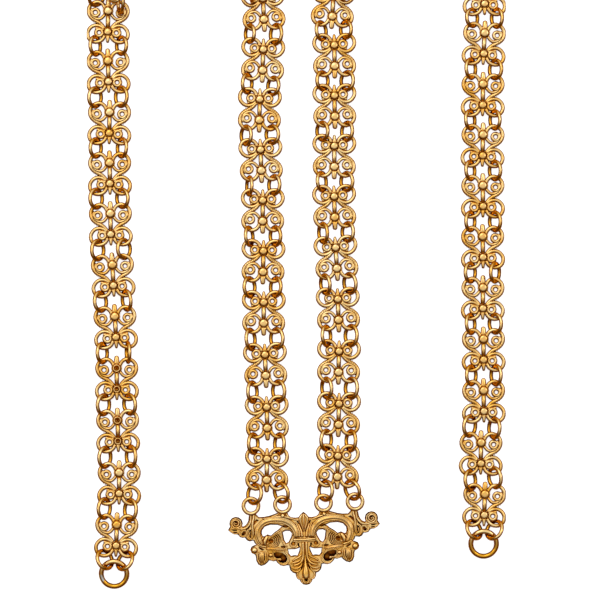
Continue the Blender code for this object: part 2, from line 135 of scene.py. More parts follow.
# Scroll link, right-hand wires from the link's middle: across and along, on the grid
OUTER_SCROLL = [
    (3.2, 7.4), (5.6, 4.2), (8.2, 1.7), (11.6, -0.1), (15.2, -2.1), (18.1, -5.0), (19.6, -9.0),
    (19.2, -13.4), (16.5, -17.3), (11.4, -19.6), (6.9, -18.4), (4.2, -15.5), (3.2, -12.8),
]
INNER_SCROLL = [
    (3.2, -7.2), (5.2, -4.4), (8.0, -2.3), (11.4, -2.4), (14.4, -3.9), (16.6, -7.0), (16.9, -10.2),
    (15.4, -12.4),
]
POINT_LOBE = [
    (3.4, 7.9), (7.0, 5.2), (11.2, 4.0), (15.7, 5.2), (19.0, 8.6), (20.2, 12.6), (19.2, 16.8),
    (16.2, 19.9), (11.8, 20.9), (7.4, 19.8), (4.4, 17.0), (3.1, 13.6),
]
POINT_SHOULDER = [(3.8, 8.8), (6.2, 7.9), (9.4, 7.6), (12.6, 6.8)]
# Wires on each side of a link: route, shares of the full width and depth, and lift
LINK_WIRES = [
    (OUTER_SCROLL, 1, 1, -0.1),
    (INNER_SCROLL, 0.85, 0.95, 0.25),
    (POINT_LOBE, 1, 1, 0),
    (POINT_SHOULDER, 0.8, 0.9, 0.1),
]
# Curls of the right-hand wires: across, along, radius and rise, and their wire's share of the full width
CURLS = [(12.7, -8.5, 3.5, 0.3), (8.6, 11.5, 3.4, 0.2)]
CURL_WIRE = 0.92
# Short ribs over the crossing of the wires: across, along and direction in degrees
SHOULDER_RIBS = [
    (8.6, 2.6, 35), (10.2, 1.9, 50), (11.8, 1.3, 62), (13.4, 0.6, 62), (15.0, -0.9, 52), (16.5, -2.7, 42),
    (17.8, -4.7, 28),
]
# Half length, half width, half height and lift of such a rib
RIB_SIZES = (1.5, 0.32, 0.5, 1.25)
# Half width and lift of the bar between the bosses
BAR_SIZES = (2.3, 0.1)
# Stubs past the bosses: end of the link, half width and height at the boss, rows of along, half width and
# half height, and the number of sides
STUBS = [
    (-1, (3.2, 1.6), [(-16.6, 2.8, 1.6), (-21.2, 2.5, 1.6), (-22.4, 1.9, 1.2), (-23.0, 0.7, 0.4)], 10),
    (1, (2.6, 1.5), [(15.6, 2.3, 1.5), (18.8, 1.7, 1.5), (20.8, 1.35, 1.2), (21.6, 0.7, 0.6)], 8),
]
# Bosses: end of the link that they stand at, radius and the length of their collar
BOSSES = [(1, 3.6, 1.0), (-1, 4.0, 1.2)]
BOSS_STEPS = 18
# Collar round a boss: share of the boss's radius at its foot, then share and height up to the boss
COLLAR_FOOT = 1.3
COLLAR = [(1.36, 0.7), (1.26, 1.3), (1.12, 1.1), (1.03, 0.6), (1.0, 1.2)]
COLLAR_TOP = 1.4

# Links whose bosses have lost their filling, by strand
HOLLOW_LINKS = {"left": (22, 23), "right": ()}
# Top of a boss, whole and hollow: share of its radius and height on the grid over the boss's rise
WHOLE_BOSS = [(0.99, -0.9), (0.93, -0.5), (0.8, -0.2), (0.55, 0.0), (0.3, 0.1), (0.0, 0.12)]
HOLLOW_BOSS = [
    (0.99, -0.9), (0.93, -0.3), (0.8, -0.05), (0.66, -0.3), (0.58, -1.0), (0.56, -2.3), (0.0, -2.4),
]

# Left-hand rings whose inner limb lies high, by strand and by the link before them
TURNED_RINGS = {"left": (5, 6, 8, 13, 19), "right": (1, 3, 4, 6, 12, 20)}
# Lean in degrees and middle on the grid of the rings on each side of each strand
RING_SEATS = {
    ("left", -1): (56, 13.8),
    ("left", 1): (47, 12.4),
    ("right", -1): (52, 12.1),
    ("right", 1): (48, 12.6),
}
# The same for the left strand's outer run, which starts at the given joint
OUTER_SEATS = {-1: (48, 12.4), 1: (50, 13.8)}
OUTER_START = 16
# The same for single rings, by strand, side and the link before them
STEEP_RINGS = {("left", -1, 5): (76, 12.6), ("right", -1, 5): (64, 12.4), ("left", -1, 21): (80, 12.0)}

# Degrees by which chance turns the links in their plane and out of it, and the rings in lean and in plan
LINK_SWAY, LINK_TIP = 1.5, 2
RING_SCATTER, RING_TWIST = 8, 4
LINK_SEED, RING_SEED = 7, 11

# Ornament, drawn from the middle of its row of eyes: across and up, on the grid.
# Right half of the outline, from the bud's tip round to the tip of the leaf
ORNAMENT_OUTLINE = [
    (0.0, -8.8), (2.4, -11.0), (4.9, -14.1), (8.6, -14.4), (12.9, -13.7), (15.6, -11.4), (16.2, -8.4),
    (24.8, -8.4), (28.6, -9.8), (34.1, -11.4), (39.5, -12.3), (44.9, -12.3), (47.4, -9.8), (48.4, -7.6),
    (53.6, -7.6), (54.4, -11.7), (54.9, -14.9), (56.3, -17.8), (58.4, -20.1), (61.2, -21.2), (62.4, -20.2),
    (61.7, -17.2), (62.6, -13.9), (65.0, -11.8), (68.0, -11.1), (71.1, -11.9), (73.3, -14.2), (74.0, -17.3),
    (73.4, -20.2), (75.6, -23.3), (73.2, -25.6), (70.1, -27.4), (66.8, -27.6), (65.7, -28.4), (64.0, -30.6),
    (61.6, -31.2), (59.2, -31.1), (58.5, -32.2), (57.2, -34.1), (54.9, -35.1), (52.4, -34.5), (50.6, -34.7),
    (49.6, -37.3), (47.8, -39.3), (50.0, -40.2), (53.0, -41.4), (54.1, -44.2), (53.0, -47.0), (49.6, -48.8),
    (48.8, -51.2), (48.6, -55.2), (47.0, -58.6), (44.4, -60.2), (41.0, -59.2), (38.4, -57.2), (36.4, -54.8),
    (34.0, -55.4), (31.7, -56.1), (29.2, -55.6), (27.6, -58.0), (24.9, -60.4), (21.8, -61.2), (18.2, -60.4),
    (15.9, -60.9), (15.6, -63.2), (14.9, -66.0), (12.8, -68.2), (9.9, -69.4), (9.5, -72.6), (8.1, -74.7),
    (6.0, -75.7), (5.2, -78.0), (2.9, -80.4), (0.0, -81.0),
]
# Openings right through the right half
ORNAMENT_WINDOWS = {
    "under_arch": [
        (21.5, -21.9), (26.2, -19.7), (33.8, -19.3), (39.4, -21.0), (42.5, -24.6), (43.1, -28.2),
        (42.0, -31.4), (39.9, -31.8), (36.8, -30.0), (33.3, -31.3), (29.4, -28.0), (25.8, -25.8),
    ],
    "beside_collar": [
        (11.8, -29.2), (14.2, -26.3), (18.8, -26.0), (22.0, -27.8), (21.4, -31.6), (20.7, -36.0),
        (18.6, -39.6), (15.6, -38.2), (12.6, -32.8),
    ],
    "beside_stem": [
        (4.5, -43.3), (9.8, -44.8), (17.2, -44.7), (16.7, -49.6), (14.4, -52.5), (10.8, -51.9),
        (7.3, -52.2), (5.2, -47.4),
    ],
}
# Hollows of the right half that reach down to the back
DEEP_HOLLOWS = {
    "scroll": [
        (22.6, -48.3), (28.8, -47.2), (31.2, -47.8), (31.3, -51.6), (29.2, -53.2), (27.9, -54.7),
        (26.0, -57.3), (22.6, -58.5), (19.4, -57.7), (17.8, -54.6), (18.9, -51.2),
    ],
    "ribbon_slot": [(18.8, -42.3), (20.9, -41.2), (24.2, -41.4), (23.4, -43.0), (19.8, -43.7)],
    "cheek_slot": [(40.6, -44.4), (43.0, -42.6), (46.4, -41.0), (46.0, -42.8), (42.6, -45.2)],
    "leaf_groove": [
        (0.9, -54.2), (2.3, -57.6), (3.8, -61.4), (5.8, -66.0), (4.0, -66.0), (2.0, -62.2), (1.1, -58.0),
    ],
    "bud_groove": [
        (6.6, -15.8), (7.4, -16.8), (4.9, -21.8), (2.4, -26.6), (0.7, -29.0), (1.4, -26.0), (3.9, -20.8),
        (5.6, -17.0),
    ],
    "arm_slot": [(67.2, -23.2), (70.6, -23.0), (73.0, -23.3), (70.6, -24.3), (67.3, -24.6)],
    "arm_groove": [
        (53.9, -19.4), (55.4, -21.2), (58.6, -24.0), (58.0, -24.6), (54.8, -22.2), (53.4, -20.2),
    ],
    "curl_edge": [(5.4, -39.0), (7.0, -39.2), (7.2, -42.0), (5.6, -42.6)],
}
# Hollow inside a shallow one that reaches on down to the back
SHELL_SLOT = [(31.4, -35.4), (33.4, -34.4), (35.8, -35.0), (36.0, -36.6), (34.0, -37.4), (31.8, -37.2)]
# Hollows that reach half-way down
SHALLOW_HOLLOWS = {
    "shell": [
        (26.2, -28.7), (28.6, -30.2), (31.4, -32.4), (34.2, -33.2), (36.4, -34.6), (37.4, -36.8),
        (36.0, -39.4), (36.4, -41.6), (31.2, -42.4), (26.6, -41.4), (24.2, -37.4), (24.3, -32.0),
    ],
    "near_leaf": [(53.0, -23.4), (55.0, -24.4), (56.0, -27.6), (55.0, -31.4), (53.4, -32.2), (52.8, -28.0)],
    "middle_leaf": [
        (58.4, -25.2), (60.6, -25.0), (63.0, -27.6), (62.2, -29.2), (60.0, -29.4), (58.6, -27.8),
    ],
    "far_leaf": [(66.8, -25.6), (69.8, -25.2), (71.6, -25.4), (69.8, -26.6), (67.2, -26.8)],
    "web": [(44.6, -14.6), (47.0, -13.6), (49.4, -15.6), (50.2, -19.6), (48.9, -18.4), (47.2, -16.6)],
    "arch_shade": [(14.8, -22.4), (18.0, -20.6), (20.8, -20.6), (20.6, -22.8), (17.6, -23.4)],
}
# Round hollows half-way down: across, up, radius
ROUND_HOLLOWS = [(67.9, -17.1, 4.6), (11.3, -39.3, 2.2)]
# Right half of the hollow in the leaf's tip
HOLLOW_TIP = [(0.0, -74.5), (1.3, -75.0), (1.7, -76.3), (1.2, -77.5), (0.0, -77.9)]

# Broad bands with fine ribs, on the right half: across, up and half width
ORNAMENT_BANDS = {
    "arch": [
        (7.8, -33.4, 2.6), (8.6, -27.0, 3.0), (11.4, -22.0, 3.5), (15.8, -18.2, 3.6), (22.0, -15.8, 3.4),
        (30.0, -15.1, 3.3), (37.4, -16.2, 3.3), (43.0, -19.6, 3.3), (46.3, -25.0, 3.2),
        (46.3, -31.0, 3.2), (44.4, -36.2, 2.6), (41.6, -39.6, 1.6),
    ],
    "ribbon": [
        (19.6, -45.6, 1.0), (22.0, -45.0, 1.6), (26.0, -44.7, 2.0), (30.2, -44.2, 2.1),
        (34.4, -43.9, 2.0), (38.6, -43.4, 1.4),
    ],
    "drop": [(43.2, -45.6, 1.6), (43.4, -48.8, 2.8), (43.4, -52.6, 3.0), (43.6, -56.8, 2.0)],
}
# Ribs on a band: where they lie as shares of its half width, how far they are sunk, half width as a share
# of the band's, and half height
BAND_RIBS = (-0.62, 0.05, 0.66)
BAND_RIB_SUNK, BAND_RIB_WIDTH, BAND_RIB_HEIGHT = 0.3, 0.24, 0.6

# Raised ridges of the right half: across, up and half width
ORNAMENT_RIDGES = {
    "arch_edge": [
        (5.0, -17.0, 0.5), (9.4, -15.4, 1.0), (14.4, -13.6, 1.3), (20.0, -12.2, 1.5), (27.0, -11.9, 1.2),
        (34.0, -12.6, 0.9), (41.0, -13.4, 0.9),
    ],
    "flare_left": [(16.9, -8.6, 0.8), (16.6, -10.6, 1.0), (14.6, -13.2, 1.0), (10.8, -15.0, 0.8)],
    "flare_right": [(24.2, -8.6, 0.9), (27.4, -10.4, 1.0), (33.0, -11.9, 0.8)],
    "flare_middle": [(20.4, -8.8, 1.8), (20.8, -11.2, 2.6), (21.4, -13.4, 2.0)],
    "window_rim": [
        (11.6, -31.4, 0.7), (11.4, -28.4, 0.8), (14.0, -25.2, 0.8), (19.0, -24.6, 0.9),
        (23.0, -26.4, 0.9), (24.0, -28.8, 0.9), (23.2, -32.2, 0.9), (22.4, -36.2, 0.9),
        (20.8, -40.0, 0.8), (17.4, -41.8, 0.7),
    ],
    "shell_edge": [(23.4, -25.4, 0.8), (26.8, -27.2, 0.9), (30.6, -29.8, 0.9), (33.0, -32.2, 0.9)],
    "bud_side": [
        (0.8, -10.2, 0.7), (3.1, -13.2, 1.5), (3.6, -15.6, 1.6), (2.8, -19.8, 1.3), (1.3, -24.4, 0.9),
        (0.6, -27.6, 0.5),
    ],
    "ray_first": [(5.4, -19.6, 0.7), (4.4, -23.2, 1.3), (3.0, -27.4, 1.6), (2.2, -33.4, 1.7)],
    "ray_second": [(8.2, -18.6, 0.8), (6.6, -22.8, 1.2), (5.2, -27.4, 1.4), (5.0, -33.4, 1.5)],
    "collar_curl": [
        (7.6, -36.8, 0.7), (7.8, -40.0, 0.8), (9.4, -42.2, 0.9), (12.0, -42.8, 0.9), (14.0, -41.6, 0.9),
        (14.6, -40.0, 1.1),
    ],
    "stem_side": [
        (1.6, -38.2, 1.6), (1.7, -44.0, 1.7), (1.8, -50.0, 1.7), (2.4, -54.6, 1.6), (4.6, -58.6, 1.7),
        (8.2, -60.6, 1.5), (12.4, -61.2, 1.1),
    ],
    "leaf_first": [(3.6, -50.4, 1.0), (6.0, -53.2, 1.3), (9.4, -54.6, 1.3), (13.0, -56.8, 1.0)],
    "leaf_second": [(4.4, -55.4, 0.9), (7.6, -57.6, 1.2), (11.0, -58.2, 1.2), (14.6, -59.4, 0.9)],
    "leaf_third": [
        (3.4, -58.8, 0.8), (4.8, -62.2, 1.3), (7.6, -64.0, 1.4), (11.0, -64.2, 1.3), (14.6, -63.4, 0.9),
    ],
    "leaf_fourth": [(4.8, -63.8, 0.8), (6.8, -67.0, 1.2), (9.8, -67.6, 1.2), (13.6, -66.2, 1.0)],
    "leaf_fifth": [
        (6.6, -67.4, 0.8), (8.4, -69.4, 1.0), (8.9, -72.2, 1.0), (7.6, -74.6, 1.0), (5.0, -75.4, 0.8),
    ],
    "tongue_line": [(0.6, -60.0, 0.5), (1.6, -65.0, 0.8), (2.6, -70.0, 1.0), (3.4, -73.6, 0.8)],
    "tip_rim": [(1.8, -73.6, 0.7), (2.8, -75.8, 0.9), (2.6, -78.0, 1.0), (0.6, -79.6, 1.1)],
    "tip_side": [(4.6, -75.6, 0.7), (4.7, -77.6, 0.8), (3.0, -79.6, 0.7)],
    "cheek": [(36.9, -30.8, 1.6), (38.4, -33.4, 2.4), (39.8, -36.6, 2.5), (39.4, -39.8, 1.8)],
    "cheek_fold": [(40.6, -32.0, 0.9), (42.6, -33.8, 1.2), (42.9, -36.8, 1.2), (41.4, -39.0, 0.9)],
    "cheek_lip": [(38.4, -41.6, 1.3), (41.6, -41.0, 1.5), (44.8, -39.8, 1.4), (47.4, -38.0, 1.0)],
    "cheek_oval": [(35.6, -37.4, 0.7), (37.0, -38.4, 1.1), (37.8, -40.0, 0.8)],
    "scroll_rim": [
        (17.6, -42.4, 0.6), (18.4, -44.6, 0.8), (19.9, -47.0, 0.9), (17.9, -50.1, 0.9), (16.3, -53.8, 0.9),
        (16.9, -57.4, 1.0), (19.8, -59.8, 1.0), (23.6, -59.9, 1.0), (26.4, -57.9, 0.9), (28.0, -55.4, 0.7),
    ],
    "scroll_hook": [(29.6, -54.0, 0.6), (27.6, -54.2, 0.9), (25.4, -54.6, 1.3)],
    "bead_ring": [(29.2, -54.4, 0.7), (32.0, -55.0, 1.0), (35.0, -54.4, 0.9)],
    "bead_strap": [(32.2, -47.2, 0.8), (32.2, -50.0, 0.8), (31.8, -53.0, 0.7)],
    "bead_bar": [(37.2, -46.6, 0.9), (37.6, -50.6, 0.9), (37.2, -54.6, 0.7)],
    "drop_left": [(40.2, -46.4, 0.9), (39.6, -50.4, 1.1), (39.9, -54.6, 1.1), (42.0, -58.2, 1.1)],
    "drop_right": [(46.8, -46.8, 0.9), (47.5, -51.0, 1.0), (47.3, -54.8, 1.1), (44.9, -58.6, 1.2)],
    "arm_outer": [
        (52.4, -8.4, 1.3), (52.8, -12.4, 1.3), (53.2, -16.0, 1.3), (55.2, -19.6, 1.3), (58.6, -22.2, 1.3),
        (62.6, -22.8, 1.2), (66.6, -22.0, 1.0), (71.0, -21.6, 0.9), (75.0, -23.2, 0.5),
    ],
    "arm_inner": [
        (49.9, -8.6, 1.4), (49.9, -12.2, 1.6), (51.0, -16.4, 1.6), (51.5, -20.6, 1.5),
        (51.1, -25.2, 1.5), (51.2, -29.4, 1.3), (52.6, -32.8, 0.9),
    ],
    "near_leaf_rim": [
        (55.2, -22.8, 0.8), (57.0, -25.0, 0.9), (57.5, -28.6, 1.0), (56.6, -32.0, 1.0),
        (54.4, -33.9, 0.9),
    ],
    "near_leaf_middle": [(54.0, -25.6, 0.5), (54.7, -28.2, 0.8), (54.2, -30.6, 0.5)],
    "middle_leaf_rim": [
        (63.0, -24.4, 0.8), (64.5, -26.6, 0.9), (64.0, -29.2, 1.0), (61.4, -30.4, 0.9),
        (59.2, -30.4, 0.7),
    ],
    "far_leaf_rim": [(66.0, -27.0, 0.6), (69.6, -27.0, 0.7), (72.6, -25.4, 0.7), (75.2, -23.5, 0.4)],
}
# The same on the middle line
MIDDLE_RIDGES = {
    "bud": [(0, -9.8, 0.7), (0, -13.0, 1.2), (0, -17.0, 1.2), (0, -21.0, 0.9), (0, -25.4, 0.5)],
    "tongue": [
        (0, -53.4, 0.5), (0, -58.0, 1.1), (0, -63.0, 2.3), (0, -67.0, 3.6), (0, -71.0, 4.2),
        (0, -73.6, 3.6), (0, -75.0, 2.2),
    ],
}
# Ridges across the collar: up and half width
COLLAR_RIDGES = [(-33.4, 1.0), (-35.4, 1.7), (-37.0, 1.1)]
COLLAR_REACH = 11.0
# How far their middles sag, and what share of the reach is full, and of the half width is left at the ends
COLLAR_SAG, COLLAR_FULL, COLLAR_END = 0.5, 0.9, 0.7

# Outermost and innermost ribs of the shell, and how many there are from one to the other
SHELL_RIBS = [
    [(28.4, -28.8), (25.7, -32.0), (25.3, -36.6), (27.2, -40.2), (31.6, -41.7), (37.0, -41.9)],
    [(34.4, -32.6), (31.3, -33.6), (30.4, -36.2), (31.4, -38.2), (34.2, -39.2), (37.4, -38.8)],
]
SHELL_RIB_COUNT = 4
# Half width and height of a shell rib about its middle, how far that lies under the ridges' feet, and the
# share of the half width at its ends
SHELL_RIB = (0.72, 1.9, 0.5, 0.6)

# Round knobs: across, up and radius
ORNAMENT_KNOBS = [(50.4, -44.6, 3.4), (34.4, -50.2, 2.5), (25.2, -54.7, 1.7), (14.4, -39.9, 1.4)]
# Volutes: across, up, outer radius, start angle and turn in degrees
ORNAMENT_VOLUTES = [(67.9, -17.1, 4.8, -150, 560)]
# Degrees between a volute's rows, how much of its radius it closes in by, its ridge and how much of that
# is lost on the way, and the knob in its middle, as shares of the radius
VOLUTE_STEP = 30
VOLUTE_CLOSING, VOLUTE_RIDGE, VOLUTE_THINNING, VOLUTE_KNOB = 0.66, 0.26, 0.35, 0.24
# Height of a ridge: the least, the gain by its half width, and the half width from which it gains no more
RIDGE_LEAST, RIDGE_GAIN, RIDGE_BROAD = 0.7, 0.9, 2.6
# Height of a knob: the least, and the gain by its radius
KNOB_LEAST, KNOB_GAIN = 0.9, 0.5
# From the ornament's middle line to its outer and inner eyes
EYES_ACROSS = (52.1, 20.5)

# Heights of the ornament's back, of the ledge above it, of its ground and of the ridges' feet
BACK_HEIGHT = 1.3
LEDGE_HEIGHT = 3.2
GROUND_HEIGHT = 5.2
RIDGE_FOOT = 4.6
# How far the back stands out of the drawn outline, the steps of the ledge and ground in from the back, and
# the bevel of the ground's rim
OUTLINE_MARGIN = 0.6
LEDGE_STEP = 0.75
GROUND_STEP = 1.2
GROUND_BEVEL = 0.5

# Places of the end rings in millimetres, how high their wire lies at the last link, and how many degrees to
# each side of there their jump rings hold them
END_RING_PLACES = {"left": (-65.1, -95.9), "right": (64.3, -85.35)}
END_RING_RAISED = 2.65
END_RING_GRIP = 35
# How far aside of the wires that they hold the large jump rings lie, at the eyes and at the end rings
EYE_RING_ASIDE, END_RING_ASIDE = 0.45 * MM, 0.1 * MM

# Sides of the links' wires and ribs, and of the ornament's ridges and of the ribs on its bands
WIRE_SIDES, SHOULDER_RIB_SIDES = 8, 5
RIDGE_SIDES, BAND_RIB_SIDES = 8, 6
# Steps round, and sides of the wire, of each kind of ring
CURL_FACETS = (16, 8)
JUMP_FACETS = (24, 8)
LARGE_JUMP_FACETS = (40, 12)
END_RING_FACETS = (64, 16)
EYE_FACETS = (36, 12)

# Of each gold: the heights under which its painted shade is full and above which it is gone, the slope at
# which the painted shade is darkest, and how dull it is
GOLD_LOOKS = {
    "link_gold": (0.8 * MM, 2.8 * MM, 0.25, 1.0),
    "ring_gold": (0.4 * MM, 3.6 * MM, 0.4, 0.5),
    "relief_gold": (0.45 * MM, 1.75 * MM, 0.15, 0.95),
}
# The gilding's numbers and what they are where a gold doesn't say
GILDING_NUMBERS = {
    "Groove Width": 1.4 * MM,
    "Dark Height": 0.4 * MM,
    "Clear Height": 1.6 * MM,
    "Dark Slope": 0.3,
    "Variation": 0.5,
    "Dullness": 1.0,
}
# Shade from crowding that counts as dark and as clear, and the slope that counts as level
SHADE_RANGE = (0.4, 0.93)
LEVEL_SLOPE = 0.97
# How much painted light the steepest and the lowest places keep under their painted shade
STEEP_LIGHT_SHARE, LOW_LIGHT_SHARE = 0.2, 0.15
# Painted light over which the painted shade's brown turns to amber, and amber to the pale gold of the
# painted highlight
AMBER_RANGE, BRIGHT_RANGE = (0.0, 0.5), (0.7, 1.15)
# Roughness where the painted shade is full, and how much smoother the places of full painted light are
SHADE_ROUGHNESS, LIGHT_SMOOTHER = 0.36, 0.16
# Noise of the wear, of the pale patches and of the surface: features to the metre and detail
WEAR_NOISE, PATCH_NOISE, SURFACE_NOISE = (420.0, 3.0), (110.0, 1.0), (1300.0, 2.0)
BUMP_STRENGTH, BUMP_DISTANCE = 0.14, 0.1 * MM
# The pale patch of solder on the left end ring: its middle, and where it is whole and gone
SOLDER_PLACE = (-68.6 * MM, -117.9 * MM, 2.2 * MM)
SOLDER_REACH = (1.1 * MM, 1.8 * MM)

# Half width of the floor in metres, its glow that keeps it pale under the chain's shadow, and its tone as
# the chain mirrors it
FLOOR_REACH = 1.5
FLOOR_GLOW = 0.9
FLOOR_MIRRORED = (0.28, 0.17, 0.07)
# Square lights aimed at the middle of the chain: name, place and size in metres, and power
LIGHTS = [
    ("sky_light", (-0.2, 0.42, 0.8), 0.45, 1.0),
    ("side_light", (0.55, 0.15, 0.65), 0.3, 0.45),
    ("low_light", (-0.55, 0.0, 0.6), 0.3, 0.35),
]
STUDIO_WHITE = (1.0, 0.98, 0.95)
# Surroundings as the chain mirrors them: height and colour of the dim and of the bright part, how far they
# tilt towards the turns, and their strength, with the colour that the camera sees
SKY_TONES = [(0.3, (0.1, 0.055, 0.018)), (0.95, STUDIO_WHITE)]
SKY_TILT = 0.65
SKY_STRENGTH = 0.86
SKY_SEEN = (1.2, 1.2, 1.2)
# Width of the camera's sensor in millimetres
SENSOR_WIDTH = 36


def size_field(name, description, size):
    """A length, with its default in millimetres."""
    return bpy.props.FloatProperty(name=name, description=description, default=size * MM, unit="LENGTH")


def angle_field(name, description, degrees):
    """An angle, with its default in degrees."""
    turn = math.radians(degrees)
    return bpy.props.FloatProperty(name=name, description=description, default=turn, unit="ROTATION")


def colour_field(name, description, colour):
    """A colour and its default."""
    return bpy.props.FloatVectorProperty(
        name=name, description=description, default=colour, subtype="COLOR"
    )


class ChainSizes(bpy.types.PropertyGroup):
    """Sizes of the links and the rings between them."""

    wire_width: size_field("Scroll wire width", "Width of a link's scroll wires", 1.4)
    wire_depth: size_field("Scroll wire depth", "Depth of a link's scroll wires", 1.15)
    boss_spacing: size_field("Boss spacing", "Between the middles of a link's bosses", 7.3)
    boss_height: size_field("Boss height", "Rise of a boss above the wires", 0.75)
    lobe_reach: size_field("Lobe reach", "From a link's middle line to a lobe's middle", 4.35)
    thick_thread: size_field(
        "Thick end thread", "From a link's middle to the wire that rings wrap at its thick end", 6.74
    )
    point_thread: size_field(
        "Pointed end thread", "From a link's middle to the wire that rings wrap at its pointed end", 7.3
    )
    ring_diameter: size_field("Jump ring diameter", "Outer diameter of a jump ring", 7.0)
    ring_wire: size_field("Jump ring wire", "Wire of a jump ring", 1.38)


class OrnamentSizes(bpy.types.PropertyGroup):
    """Sizes of the cast ornament's eyes and of the large rings."""

    eye_diameter: size_field("Eye diameter", "Outer diameter of an eye", 6.7)
    eye_wire: size_field("Eye wire", "Thickness of an eye's ring", 1.4)
    eye_height: size_field("Eye height", "Height of the eyes' middle", 2.2)
    jump_diameter: size_field("Large jump ring diameter", "Outer diameter", 8.0)
    jump_wire: size_field("Large jump ring wire", "Wire of these rings", 1.4)
    jump_lean: angle_field("Ornament ring lean", "How steeply they stand", 45)
    end_jump_lean: angle_field("End jump ring lean", "How steeply they stand", 48)
    end_diameter: size_field("End ring diameter", "Outer diameter of an end ring", 10.8)
    end_wire: size_field("End ring wire", "Wire of an end ring", 1.8)


class GoldColours(bpy.types.PropertyGroup):
    """Colours of the gilding, its painted highlight and painted shade, and the solder."""

    # Pale gold of the painted highlight on open, level and raised places
    bright: colour_field("Bright gold", "Worn, open places", (1.0, 0.74, 0.35))
    # The gold's middle tone, between painted shade and painted highlight, on sloping places
    amber: colour_field("Amber gold", "Sloping places", (0.88, 0.42, 0.035))
    # Brown of the painted shade in grooves, on steep sides, on undersides and low down
    tarnish: colour_field("Tarnish", "Grooves and undersides", (0.22, 0.05, 0.003))
    solder: colour_field("Solder", "Patch on the left end ring", (0.86, 0.84, 0.78))
    edge_tint: colour_field("Edge tint", "Shine of the wires' turned-away edges", (1.0, 0.74, 0.34))


class StageLook(bpy.types.PropertyGroup):
    """Floor, lights and camera."""

    floor_colour: colour_field("Floor", "Colour of the floor", (0.9, 0.9, 0.9))
    picture_width: size_field("Picture width", "Width of the floor that the camera sees", 210)
    lens: bpy.props.FloatProperty(name="Lens", description="Focal length in millimetres", default=200)


def hermite(start, stop, leave, arrive, share):
    """Cubic between two values with the given end slopes."""
    square, cube = share**2, share**3
    return (
        (2 * cube - 3 * square + 1) * start
        + (cube - 2 * square + share) * leave
        + (3 * square - 2 * cube) * stop
        + (cube - square) * arrive
    )


def hermite_slope(start, stop, leave, arrive, share):
    """Slope of the same cubic."""
    square = share**2
    return (
        (6 * square - 6 * share) * start
        + (3 * square - 4 * share + 1) * leave
        + (6 * share - 6 * square) * stop
        + (3 * square - 2 * share) * arrive
    )


def smooth_rows(rows, steps):
    """Rows on a smooth curve through the given rows, each span cut into the given steps."""
    finished = []
    last = len(rows) - 1
    for span in range(last):
        near = [rows[max(span - 1, 0)], rows[span], rows[span + 1], rows[min(span + 2, last)]]
        for step in range(steps):
            finished.append(tuple(between(*values, step / steps) for values in zip(*near)))
    return finished + [tuple(rows[-1])]


def between(before, start, stop, after, share):
    """A value on the smooth curve from start to stop."""
    return hermite(start, stop, (stop - before) / 2, (after - start) / 2, share)


def heading(rows, index):
    """Direction in plan of rows that begin with across and along, at one of them."""
    before, after = rows[max(index - 1, 0)], rows[min(index + 1, len(rows) - 1)]
    return Vector((after[0] - before[0], after[1] - before[1])).normalized()


def route_value(rows, count):
    """Place and slope of a strand's route at a link count."""
    span = max(index for index, row in enumerate(rows[:-1]) if row[0] <= count)
    start, stop = rows[span], rows[span + 1]
    links = stop[0] - start[0]
    share = (count - start[0]) / links
    value, slope = [], []
    for column in range(1, 5):
        leave, arrive = (row_slope(rows, index, column) * links for index in (span, span + 1))
        value.append(hermite(start[column], stop[column], leave, arrive, share))
        slope.append(hermite_slope(start[column], stop[column], leave, arrive, share) / links)
    return value, slope


def row_slope(rows, index, column):
    """Change per link at a row; height and lean level out there."""
    if column > 2:
        return 0.0
    behind, ahead = rows[max(index - 1, 0)], rows[min(index + 1, len(rows) - 1)]
    return (ahead[column] - behind[column]) / (ahead[0] - behind[0])


def strand_frame(side_name, count):
    """Frame of a link: X across it, Y along the strand, Z out of its face."""
    value, slope = route_value(STRAND_ROUTES[side_name], count)
    along = Vector(slope[:3]).normalized()
    level = along.cross(Vector((0, 0, 1))).normalized()
    front = level.cross(along)
    lean = math.radians(value[3])
    across = level * math.cos(lean) - front * math.sin(lean)
    placed = Matrix((across, along, across.cross(along))).transposed().to_4x4()
    placed.translation = Vector(value[:3]) * MM + DRAWING_MIDDLE
    return placed


def sweep(form, rows, sides, steps=3):
    """Draws an oval section along rows of (x, y, z, half width, half height) on the grid."""
    rows = smooth_rows(rows, steps) if steps > 1 else rows
    stations = []
    for index, (x, y, z, half_width, half_height) in enumerate(rows):
        along = heading(rows, index).to_3d()
        across = Vector((along.y, -along.x, 0))
        turn = Matrix((across, Vector((0, 0, 1)), -along)).transposed().to_4x4()
        stretch = Matrix.Diagonal((half_width, half_height, 1, 1))
        stations.append(Matrix.Translation((x, y, z)) @ turn @ stretch)
    start = bmesh.ops.create_circle(form, segments=sides, radius=1, cap_ends=True, matrix=stations[0])
    edges = list(start["verts"][0].link_faces[0].edges)
    for last, this in zip(stations, stations[1:]):
        extruded = bmesh.ops.extrude_edge_only(form, edges=edges)["geom"]
        verts = [item for item in extruded if isinstance(item, bmesh.types.BMVert)]
        edges = [
            item
            for item in extruded
            if isinstance(item, bmesh.types.BMEdge) and all(vert in verts for vert in item.verts)
        ]
        bmesh.ops.transform(form, matrix=this @ last.inverted(), verts=verts)
    bmesh.ops.edgeloop_fill(form, edges=edges)


def wire(form, points, half_width, half_height, lift, sides=WIRE_SIDES, steps=2):
    """A wire of even thickness along points of (x, y) on the grid."""
    sweep(form, [(x, y, lift, half_width, half_height) for x, y in points], sides, steps)


def full_spin(form, geometry, steps):
    """Spins geometry all the way round the upright axis."""
    bmesh.ops.spin(
        form, geom=geometry, cent=(0, 0, 0), axis=(0, 0, 1), angle=2 * math.pi, steps=steps, use_merge=True
    )


def connected(start):
    """All verts joined to the given one, in the order in which they are found."""
    found, waiting = {start: True}, [start]
    while waiting:
        for edge in waiting.pop().link_edges:
            for vert in edge.verts:
                if vert not in found:
                    found[vert] = True
                    waiting.append(vert)
    return list(found)


